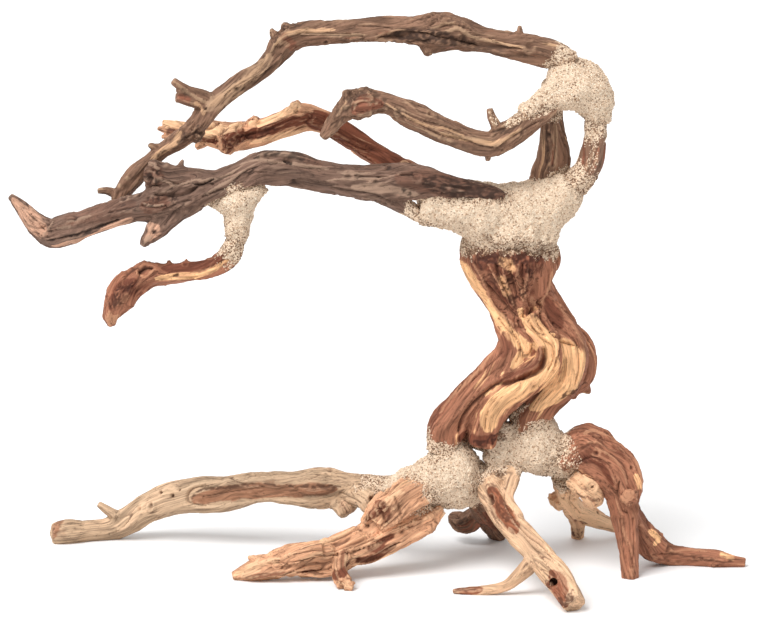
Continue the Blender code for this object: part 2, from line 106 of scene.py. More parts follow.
# Sand: the least and the most length, width and height of a grain, as shares of its size
GRAIN_LEAST = (0.8, 0.45, 0.4)
GRAIN_MOST = (1.2, 0.75, 0.7)
SAND_BORDER = 4.0           # width of the darker, rougher border beside the wood
COATED = 0.42               # share of a joint's points that carry a grain
SPILLED = 0.34              # share of the wood's points beside a joint that do
SPILLED_SIZE = 0.75         # size of those grains, as a share of the others'

# Patterns in the materials, in waves a metre, along and across the grain where there are three
FINE_LINES = (40.0, 1300.0, 1300.0)
STREAK_LINES = (16.0, 520.0, 520.0)
BLOTCHES = (40.0, 90.0, 90.0)
WOOD_DOTS = 900.0
GRAIN_BEND = 700.0
GRAIN_CELLS = 1500.0
GRAIN_MOTTLE = 2500.0
SAND_CLOUDS = 120.0
BUMP_HEIGHT = 0.6 * MM

# Pieces of wood. A limb's points are x, y, z and its radius there. Ridges run along every limb of a
# piece: how many, how deep as a share of the radius, and how far they turn, in degrees per millimetre.
WOODS = {
    "trunk": {
        "material": "red_wood", "ridges": 4, "depth": 0.1, "twist": 1.2,
        "limbs": [
            # left half of the crown
            [(52, 12, 170, 12), (52, 12, 161, 13.5), (56, 12, 150, 12), (61, 12, 140, 10),
             (65, 12, 131, 9)],
            # right half of the crown
            [(73, 13, 170, 12), (73, 13, 161, 14.5), (71, 13, 150, 12.5), (69, 13, 140, 11),
             (70, 13, 129, 9)],
            # front of the crown
            [(63, 8, 168, 13), (63, 8, 158, 15), (64, 9, 146, 13), (67, 10, 133, 10)],
            # middle of the crown
            [(62, 13, 170, 12), (62, 13, 158, 13), (65, 13, 145, 12)],
            # left rim, the pale ribbon
            [(39.5, 8, 162, 2), (42.5, 8, 157, 4), (48, 7, 149, 4.5), (56, 5, 138, 5),
             (63, 4, 126, 7)],
            # left strand
            [(62, 6, 134, 7), (65, 4, 122, 8.5), (64, 3, 112, 9), (57, 2, 102, 9.5), (47, 2, 93, 9),
             (39, 3, 84, 8.5), (31.5, 4, 75, 9), (28.5, 6, 63, 8)],
            # middle strand
            [(73, 2, 133, 6.5), (81, -2, 121, 6.5), (82, -4, 111, 6.5), (70, -5, 100, 7.5),
             (57, -4, 90, 8), (51, -2, 79, 7.5), (49, 2, 69, 8)],
            # right strand
            [(78, 12, 139, 6), (88, 10, 125, 8.5), (93, 8, 113, 10), (90, 7, 100, 10.5),
             (80, 7, 90, 10), (73, 9, 78, 9), (72, 12, 67, 7)],
            # wood between the left and middle strands
            [(71, 2, 128, 5), (73, 2, 117, 6), (69, 1, 107, 6)],
            # rear strand
            [(77, 18, 152, 5), (84, 23, 136, 5.5), (93, 26, 121, 6), (100, 27, 109, 7.5),
             (100, 25, 97, 7.2), (92, 21, 89, 4.5)],
            # torn bark on its edge
            [(100, 26, 99, 5), (105, 27, 97.5, 2.6), (107.5, 27, 96.5, 1.2)],
            [(98, 25, 93, 4.5), (103, 26, 89.5, 2.6), (105, 26, 87.5, 1.2)],
            [(95, 22, 90, 4), (97, 23, 85.5, 1.5)],
            # back
            [(66, 22, 139, 11), (72, 23, 119, 12), (69, 23, 102, 13), (57, 22, 86, 11),
             (48, 19, 70, 9), (45, 17, 61, 7)],
        ],
    },
    "long_branch": {
        "material": "grey_bark", "ridges": 5, "depth": 0.12, "twist": 1.0,
        "limbs": [
            # from the crown joint to the upturned left tip
            [(59, 1, 193, 3), (53, -1, 195, 4.5), (43, -3, 197, 5.5), (28, -4, 200, 6.5),
             (11, -5, 202, 9), (-3, -5, 201, 8.5), (-16, -6, 202, 7.5), (-31, -7, 205, 7),
             (-46, -8, 209, 8.5), (-60, -9, 209, 8.5), (-70, -10, 206, 7), (-83, -11, 201, 7.5),
             (-96, -12, 196, 8.5), (-110, -12, 192, 8.5), (-124, -12, 189, 6.8), (-140, -11, 184, 6.2),
             (-154, -10, 179.5, 7), (-164, -9, 177, 7.5), (-171, -8, 181.5, 5.5), (-177, -7, 188, 3.5),
             (-181, -6, 192, 2.5), (-184, -6, 195, 1.5)],
            # upper fork, which ends in a knot
            [(-82, -10, 203, 6), (-94, -10, 204, 5.5), (-106, -10, 205, 6.5), (-116, -11, 207, 6.5)],
            # cut stub that points down
            [(-92, -12, 194.5, 6.2), (-103, -14, 188, 6), (-111, -16, 180.5, 5),
             (-117, -18, 174.5, 2.8), (-118.5, -18, 172, 1.8)],
            # ridge under the right half
            [(-19, -6, 199, 4.5), (-4, -5, 198, 5.5), (8, -4, 191, 4.5), (20, -3, 183, 3)],
            # thorn
            [(-98, -10, 207, 2.2), (-99.5, -10, 211.5, 1.4), (-98, -10, 213.5, 1)],
        ],
    },
    "top_branch": {
        "material": "dark_bark", "ridges": 5, "depth": 0.12, "twist": 1.4,
        "limbs": [
            # from the upper joint to the left, down to the tip on the long branch
            [(94, 11, 259, 5), (80, 10, 264, 7), (62, 11, 267, 6), (47, 12, 270, 6), (35, 12, 273, 8),
             (26, 13, 274, 9.5), (15, 13, 274, 7), (-2, 15, 274, 6), (-24, 17, 273, 6),
             (-41, 19, 271, 6.5), (-49, 20, 266.5, 6.2), (-58, 19, 256, 4.4), (-73, 16, 246, 4.5),
             (-85, 13, 236, 5), (-93, 10, 227, 5), (-101, 7, 220.5, 5), (-109, 5, 215.5, 3.8),
             (-114.5, 3, 210.5, 4), (-121.5, 1, 204.5, 4.8), (-128, -1, 197.5, 4.3),
             (-132, -3, 191, 3.2)],
            # upper prong of the left fork
            [(-84, 13, 239, 3.5), (-91, 12, 242, 3.5), (-97, 10, 245, 2.5), (-104, 8, 250, 2)],
            # lower prong of the fork
            [(-90, 12, 238.5, 3.5), (-97, 11, 241, 3.5), (-102, 10, 242.5, 3.3)],
            # web between the prongs
            [(-92, 11, 243, 2.5), (-98, 10, 244, 2.3), (-102, 9, 246, 1.6)],
            # lumps of the dark knot
            [(-97, 9, 225, 4), (-91, 9, 222.5, 4), (-89.5, 9, 221.5, 2.5)],
            # short dark stub above the tail
            [(-108, 5, 216, 3), (-113, 4, 217.5, 2), (-116, 3, 219, 1.3)],
            # snags on the left bend
            [(-53, 19, 270, 3), (-55, 18, 273, 1.6), (-55.5, 18, 274.5, 0.9)],
            [(-46, 19, 272, 4.2), (-48.5, 18, 275.5, 2.4), (-49.8, 18, 277, 1.3)],
            # hook at the tip
            [(-134, -2, 196, 2.5), (-137, -3, 197, 2), (-141, -4, 197, 1.5)],
            # bump of a lost twig
            [(22, 12, 267, 3.5), (22, 8, 263, 2)],
            # thorn
            [(67, 10, 271, 2), (67, 11, 277, 1)],
        ],
    },
    "back_branch": {
        "material": "orange_wood", "ridges": 4, "depth": 0.1, "twist": 0.8,
        "limbs": [
            # from behind the crown joint to the ragged left end
            [(59, 34, 178, 6.5), (39, 35, 187, 6.5), (18, 37, 196, 6.5), (1, 38, 205, 6),
             (-17, 41, 216, 6), (-29, 43, 223, 6), (-41, 44, 226, 7), (-52, 45, 222, 6.2),
             (-65, 47, 217, 6.5), (-77, 48, 215, 7.5), (-88, 49, 217, 6.5), (-98, 50, 219, 4),
             (-106, 51, 221, 2.5), (-112, 52, 222.5, 1.4)],
            # dark splinters under it
            [(-96, 50, 217, 3), (-106, 50, 217.5, 2.2), (-114.5, 51, 219.5, 1.1)],
            [(-102, 50, 216, 2), (-112.5, 50, 215, 1.1)],
            # bare knuckle on top
            [(-43, 44, 229, 4.5), (-45, 43, 234, 2.5)],
            # burls of the torn knot
            [(-70, 44, 218, 6), (-77, 43, 214, 7), (-80, 43, 208, 3)],
            [(-66, 46, 222, 4), (-64, 45, 226, 2)],
            # lower stub at the ragged end
            [(-90, 48, 213, 3), (-95, 47, 210, 1.5)],
        ],
    },
    "middle_branch": {
        "material": "dark_bark", "ridges": 5, "depth": 0.12, "twist": 1.2,
        "limbs": [
            # from the upper joint, through its elbow, to the broken left end
            [(85, 8, 241, 5.5), (78, 5, 235, 6), (67, 1, 228, 6), (57, -3, 222, 6.5), (51, -5, 220, 6),
             (40, -6, 223, 5.5), (28, -7, 228, 6), (14, -8, 235, 6.5), (2, -9, 241, 5),
             (-8, -10, 242, 6.5), (-15, -11, 241, 6), (-21, -12, 236, 4.5), (-26, -13, 230, 3.5),
             (-30, -14, 225, 2)],
            # upper tip of the broken end
            [(-8, -11, 243, 5), (-10, -11, 247, 4), (-10.5, -11, 249.5, 2.5)],
            # left tip of the broken end
            [(-15.5, -12, 237, 5), (-16.5, -12, 243, 3.8), (-17, -12, 248.5, 2.8)],
            # knob below it
            [(-19, -13, 236, 3.5), (-22, -13, 239.5, 2.6)],
            # chunk beside the red oval
            [(-6, -12, 240, 5.5), (-14, -12, 240, 6), (-18, -12, 238, 4)],
            # peg above the elbow
            [(57, -3, 226, 3), (53, -4, 234, 2), (52, -4, 238, 1.5)],
            # thorn below the elbow
            [(52, -5, 219, 3), (51, -5, 212, 1)],
        ],
    },
    "rear_strut": {
        "material": "dark_bark", "ridges": 4, "depth": 0.1, "twist": 1.0,
        "limbs": [
            # from the upper joint down to the crown joint
            [(85, 19, 239, 5), (84, 21, 228, 5.5), (85, 22, 217, 6.5), (85, 22, 208, 7.5),
             (82, 23, 200, 8), (79, 23, 193, 6)],
        ],
    },
    "right_strut": {
        "material": "dark_bark", "ridges": 4, "depth": 0.12, "twist": 1.0,
        "limbs": [
            # from the upper joint down to the crown joint, bowed to the right
            [(104, 11, 238, 5), (105, 12, 229, 6), (105, 12, 220, 6), (103, 12, 211, 6.5),
             (100, 12, 203, 6.5), (94, 12, 196, 6.5), (88, 12, 189, 5.5)],
        ],
    },
    "hanging_twig": {
        "material": "red_wood", "ridges": 4, "depth": 0.14, "twist": 1.5,
        "limbs": [
            # down from its joint, to the left and down again
            [(-72, -10, 181, 3.5), (-73, -10, 174, 4.5), (-76, -10, 166, 5.5), (-83, -10, 160, 5),
             (-93, -11, 158, 5), (-105, -11, 157, 5), (-115, -12, 156, 5.5), (-124, -13, 152.5, 7),
             (-129.5, -14, 146, 7.2), (-133, -14, 140, 5), (-135, -15, 135, 3.5), (-134, -15, 131, 2)],
            # hump over the elbow
            [(-111, -12, 158, 4.5), (-117, -12, 160, 4), (-121, -13, 157, 4)],
            # knob on the left
            [(-130, -14, 143, 5), (-136, -14, 144, 3.5)],
            # thorns
            [(-105, -11, 161, 1.4), (-106, -11, 164, 0.6)],
            [(-97.5, -11, 162, 1.4), (-97, -11, 164.7, 0.6)],
            [(-128, -14, 146, 2.5), (-124.5, -14, 142.5, 0.9)],
            [(-111, -11, 154, 2), (-111, -11, 150.5, 0.8)],
        ],
    },
    "left_root": {
        "material": "tan_wood", "ridges": 4, "depth": 0.08, "twist": 0.5,
        "limbs": [
            # from the left foot joint to the tip that lies on the floor
            [(14, 22, 40, 6.5), (1, 26, 38, 5.5), (-15, 30, 37, 7), (-32, 36, 35, 10.5),
             (-45, 40, 34, 8.5), (-63, 46, 33, 8), (-81, 52, 28, 9), (-95, 56, 26, 9.5),
             (-110, 60, 23, 8.5), (-122, 63, 18, 8), (-132, 65, 11, 7), (-142, 66, 5, 6),
             (-154, 63, 4.5, 5.5), (-165, 59, 5, 6), (-172.5, 57, 5, 4.5)],
            # knob under the thick end
            [(-23, 32, 31, 6), (-18, 27, 24.5, 5)],
            # knot beside the joint
            [(-17, 28, 35, 5), (-10, 22, 33, 5)],
            # block in front of it
            [(-11, 22, 35, 5), (-7, 17, 33, 6), (-5, 15, 30, 5)],
            # dead twig near the tip
            [(-138, 65, 12, 3.3), (-143, 66, 14.5, 2.6), (-149, 67, 18.5, 1.7)],
        ],
    },
    "front_left_root": {
        "material": "orange_wood", "ridges": 5, "depth": 0.15, "twist": 1.0,
        "limbs": [
            # from the left foot joint to the ragged tip on the floor
            [(20, 8, 40, 8), (12, 5, 33, 9), (3, 1, 26, 9.5), (-8, -3, 19, 8), (-17, -6, 15, 8),
             (-29, -9, 11, 9), (-42, -11, 10, 8.5), (-54, -12, 8, 7), (-64, -12, 5, 5.5),
             (-72, -11, 3, 3.5), (-76, -11, 2, 2)],
            # side foot, forwards and down
            [(-20, -12, 13, 4.5), (-22, -21, 8, 4), (-19, -29, 3, 4)],
            # toe of the side foot
            [(-19, -29, 3, 3), (-15, -30, 2, 2)],
            # prong beside the joint
            [(17, 5, 35, 6), (24, 2, 28, 5.5)],
            # hip and folds on the front
            [(22, 1, 44, 7), (13, -2, 41, 9), (5, -4, 35, 9), (-4, -6, 28, 7)],
            [(2, 0, 40, 4), (-4, -3, 34, 4.5), (-9, -6, 27, 3)],
            # lower strand
            [(29, 4, 33, 4), (21, 0, 26, 5), (11, -4, 21.5, 5), (1, -7, 17, 5), (-9, -10, 13, 4.5),
             (-19, -12, 11.5, 4)],
            [(-30, -15, 16, 4), (-40, -16, 14, 4.5), (-52, -16, 10, 3)],
            # raised flake at the tip
            [(-61, -12, 10, 3), (-68, -12, 12, 1)],
        ],
    },
    "front_root": {
        "material": "pale_wood", "ridges": 4, "depth": 0.1, "twist": 1.0,
        "limbs": [
            # dark limb from the foot joint, forwards and down to the thick tip
            [(51, 8, 50, 5.5), (54, 3, 43, 6.5), (59, -8, 36, 6.5), (65, -21, 30, 6), (73, -35, 24, 6),
             (81, -48, 18, 7), (87, -58, 12, 7.5), (93, -68, 4, 6)],
            # pale limb beside it
            [(67, 8, 55, 4), (64, 2, 47, 4), (62, -6, 40, 3.5), (67, -18, 33, 4)],
            # wood round the knot hole between them
            [(53, 7, 52, 4), (59, 5, 51, 5), (66, 5, 51, 4)],
            # slim side root to the left
            [(75, -40, 19, 4.5), (67, -39, 10.5, 3.5), (60, -38, 4.5, 2.7), (49, -37, 2, 2.5),
             (39, -36, 1.5, 2), (34, -36, 1.5, 1)],
        ],
    },
    "back_root": {
        "material": "dark_bark", "ridges": 4, "depth": 0.12, "twist": 1.0,
        "limbs": [
            # from the left foot joint, backwards and down
            [(44, 21, 42, 6), (50, 37, 28, 7.5), (55, 53, 16, 7), (61, 68, 4, 6)],
            # prong to the left
            [(50, 48, 18, 4.5), (43, 54, 12, 5.5), (35, 60, 13, 3)],
        ],
    },
    "arch_root": {
        "material": "red_wood", "ridges": 5, "depth": 0.12, "twist": 1.2,
        "limbs": [
            # over the arch and down the leg
            [(90, 9, 57, 10), (101.5, 6, 64, 12.4), (107, 3, 60, 11), (115, 1, 53, 11.5),
             (120, -1, 45, 10.5), (121, -2, 37, 7.5), (122, -3, 26, 6), (123, -5, 15, 5),
             (124, -6, -1, 4.5)],
            # right leg, along the floor to its tip
            [(121, 2, 38, 6), (128, 7, 25, 5), (136, 14, 11.5, 7), (145, 18, 5, 5.5),
             (156, 17, 4, 4.5), (169, 14, 4, 4.5), (177, 13, 3, 3), (184, 13, 2, 2.5)],
            # cut knot on the front
            [(123, -4, 42, 4.5), (123, -14, 43, 3.5)],
            # short stub above the right leg
            [(135, 14, 16, 3.5), (142, 16, 15, 2)],
            # hook under the right leg
            [(167, 13, 3, 2.5), (169, 11, 1, 1.5)],
        ],
    },
    "pale_root": {
        "material": "orange_wood", "ridges": 4, "depth": 0.1, "twist": 1.0,
        "limbs": [
            # from the right foot joint, backwards and down
            [(91, 16, 46, 6), (93, 26, 36, 6), (97, 40, 25, 5.5), (101, 55, 14, 4.5),
             (102, 69, -1, 3)],
            # cut nub that looks forwards
            [(96, 22, 39, 5.5), (103, 12, 45, 6.5), (107, 8, 38.5, 5.5)],
            # front of the nub
            [(97, 4, 47, 5), (100.5, -3, 47, 6.5), (105, -4, 42.5, 5.5), (106, 0, 38, 4)],
            # right leg, behind the arch
            [(98, 44, 22, 4.5), (108, 54, 15, 5), (119, 64, 8, 3.5), (130, 70, 2, 2.5)],
            # knob on the left
            [(90, 30, 32, 5), (90, 34, 27, 4)],
        ],
    },
}

# Glued joints, coated with sand and grit, each a lumpy mass round the ends of the wood it holds
JOINTS = {
    "upper_joint": [
        # from the top branch down to the right strut
        [(89, 10, 259, 8.2), (92, 11, 252, 11.2), (101, 11, 244.5, 11.2), (105, 11, 237, 8.5),
         (105, 12, 229, 7)],
        # tongue along the middle branch
        [(93, 9, 246, 11), (83, 7, 242, 7), (74, 3, 237, 5), (67, 1, 235, 4.5)],
        # round the rear strut
        [(88, 16, 247, 10), (85, 19, 237, 7)],
    ],
    "crown_joint": [
        # from the right strut to the long branch's underside
        [(94, 12, 198, 8.5), (86, 12, 190, 11.5), (73, 12, 183, 15.5), (58, 11, 181, 16.5),
         (43, 5, 186, 13.5), (32, 1, 187.5, 9.8), (18, 0, 188.5, 9.2)],
        # seat on the trunk's crown
        [(51, 12, 172, 13), (63, 11, 172, 14), (75, 12, 172, 13)],
        # lip over the front of the crown
        [(44, 11, 172, 8), (52, 7, 173, 10), (63, 5, 173, 11.5), (74, 7, 173, 10.5), (83, 12, 172, 8)],
        # round the back branch
        [(58, 26, 181, 11.5), (81, 22, 191, 8)],
    ],
    "twig_joint": [
        # neck down to the hanging twig
        [(-73, -9, 196, 8.5), (-72, -10, 192, 8.5), (-71, -10, 187, 6.5), (-72, -10, 180, 6),
         (-73, -10, 172, 5.5)],
        # collar under the long branch
        [(-88, -10, 194, 3), (-79, -10, 194, 6), (-69, -10, 196, 6.5), (-57, -9, 200, 3)],
    ],
    "left_foot_joint": [
        # from the trunk down to the back root
        [(30, 6, 65, 8.5), (34, 8, 55, 13.5), (35.5, 11, 45, 13.5), (42, 21, 40, 9.5)],
        # along the left root
        [(31, 10, 49, 12), (19, 15, 44, 9.5), (7, 21, 40, 6.5), (-2, 26, 38, 4.5)],
        # over the front left root
        [(28, 4, 48, 12), (17, 4, 42, 7.5)],
        # round the front root
        [(45, 8, 52, 9), (46, 12, 43, 7.5)],
    ],
    "right_foot_joint": [
        # from the trunk down to the front root
        [(74, 11, 79, 9), (75.5, 11, 69, 12), (77, 11, 56, 11.5), (75, 10, 51, 7)],
        # round the arch root and the pale root
        [(83, 10, 63, 11), (90, 10, 58, 9.5), (90, 12, 49, 7.5)],
        # left edge
        [(67, 10, 69, 6.5), (67, 9, 58, 5.5), (68, 8, 52, 5)],
        # towards the left foot joint
        [(61, 9, 76, 6), (58, 9, 66, 6.5), (57, 9, 58, 6.5), (60, 8, 50, 5.5)],
    ],
}

# Hollows in a piece of wood, each the space of a limb like those above
HOLLOWS = {
    # the broken front of the crown, narrowing downwards
    "trunk": [[(62, -14, 158, 4), (62, -11, 151, 7.5), (66, -7, 141, 5), (69, -4, 131, 2)]],
    # the long groove along the front of the left root
    "left_root": [[
        (-98, 45, 25, 1.5), (-91, 43, 25.5, 4), (-77, 37, 29, 4.5), (-61, 30, 32, 4.5),
        (-45, 24, 33, 4.5), (-33, 18, 33.5, 4), (-27, 16, 33, 1.5),
    ]],
    # the knot hole near the front root's tip
    "front_root": [[(82, -71, 15, 2.5), (83.5, -57, 13, 2)]],
    # the open split near the twig's elbow
    "hanging_twig": [[(-120, -20, 159, 1), (-116, -19, 161, 2.5), (-110, -18, 161.5, 1.5)]],
    # the dark seam between the two forks of the long branch
    "long_branch": [[
        (-117, -21, 197, 1.5), (-107, -22, 198.5, 3), (-95, -21, 200.5, 2.5), (-83, -21, 202, 1),
    ]],
}

# How each piece of wood looks. Flutes, furrows along the grain, cracks, fibres, rough lumps and broad
# gnarls are relief, in millimetres. Bare wood, red heartwood and light worn streaks are shares of the
# surface, from 0 to 1. Knots is how many small knots are scattered over it. Spill is how far sand reaches
# over it from a joint, as a share of the size for that, and soot is how dark the grains there are.
LOOK_KEYS = (
    "flutes", "furrows", "cracks", "fibres", "rough", "bare", "heart", "light",
    "knots", "gnarl", "spill", "soot")
LOOKS = {name: dict(zip(LOOK_KEYS, row)) for name, row in {
    "trunk": (0.5, 0.55, 1.2, 0.16, 0.12, 0.35, 0.3, 0.25, 14, 0.5, 0.5, 1.6),
    "long_branch": (0.8, 0.7, 1.5, 0.2, 0.2, 0.12, 0.2, 0.35, 12, 0.9, 0.25, 1.2),
    "top_branch": (0.7, 0.7, 1.3, 0.22, 0.3, 0.2, 0.25, 0.35, 14, 0.9, 0.35, 1.2),
    "back_branch": (0.5, 0.5, 1.2, 0.18, 0.15, 0.35, 0.4, 0.25, 6, 0.7, 0.4, 1.2),
    "middle_branch": (0.7, 0.7, 1.3, 0.2, 0.25, 0.2, 0.2, 0.45, 14, 0.8, 0.35, 1.2),
    "rear_strut": (0.6, 0.6, 1.2, 0.2, 0.2, 0.25, 0.3, 0.3, 5, 0.6, 0.4, 1.2),
    "right_strut": (0.6, 0.6, 1.2, 0.2, 0.2, 0.2, 0.4, 0.25, 6, 0.6, 0.8, 1.2),
    "hanging_twig": (0.5, 0.5, 1.0, 0.18, 0.2, 0.15, 0.35, 0.2, 10, 0.7, 1.1, 1.2),
    "left_root": (0.5, 0.4, 0.9, 0.16, 0.12, 0.45, 0.15, 0.35, 14, 0.8, 1.5, 1.2),
    "front_left_root": (0.9, 0.8, 1.2, 0.22, 0.2, 0.4, 0.2, 0.4, 12, 1.2, 0.9, 1.2),
    "front_root": (0.45, 0.25, 0.5, 0.14, 0.1, 0.5, 0.1, 0.4, 0, 0.7, 0.35, 1.2),
    "back_root": (0.8, 0.8, 1.5, 0.2, 0.4, 0.15, 0.3, 0.2, 8, 1.0, 0.8, 1.2),
    "arch_root": (0.7, 0.55, 0.7, 0.2, 0.12, 0.1, 0.3, 0.35, 12, 0.8, 1.2, 1.2),
    "pale_root": (0.5, 0.5, 1.0, 0.18, 0.2, 0.4, 0.05, 0.8, 10, 0.9, 1.0, 1.2),
}.items()}
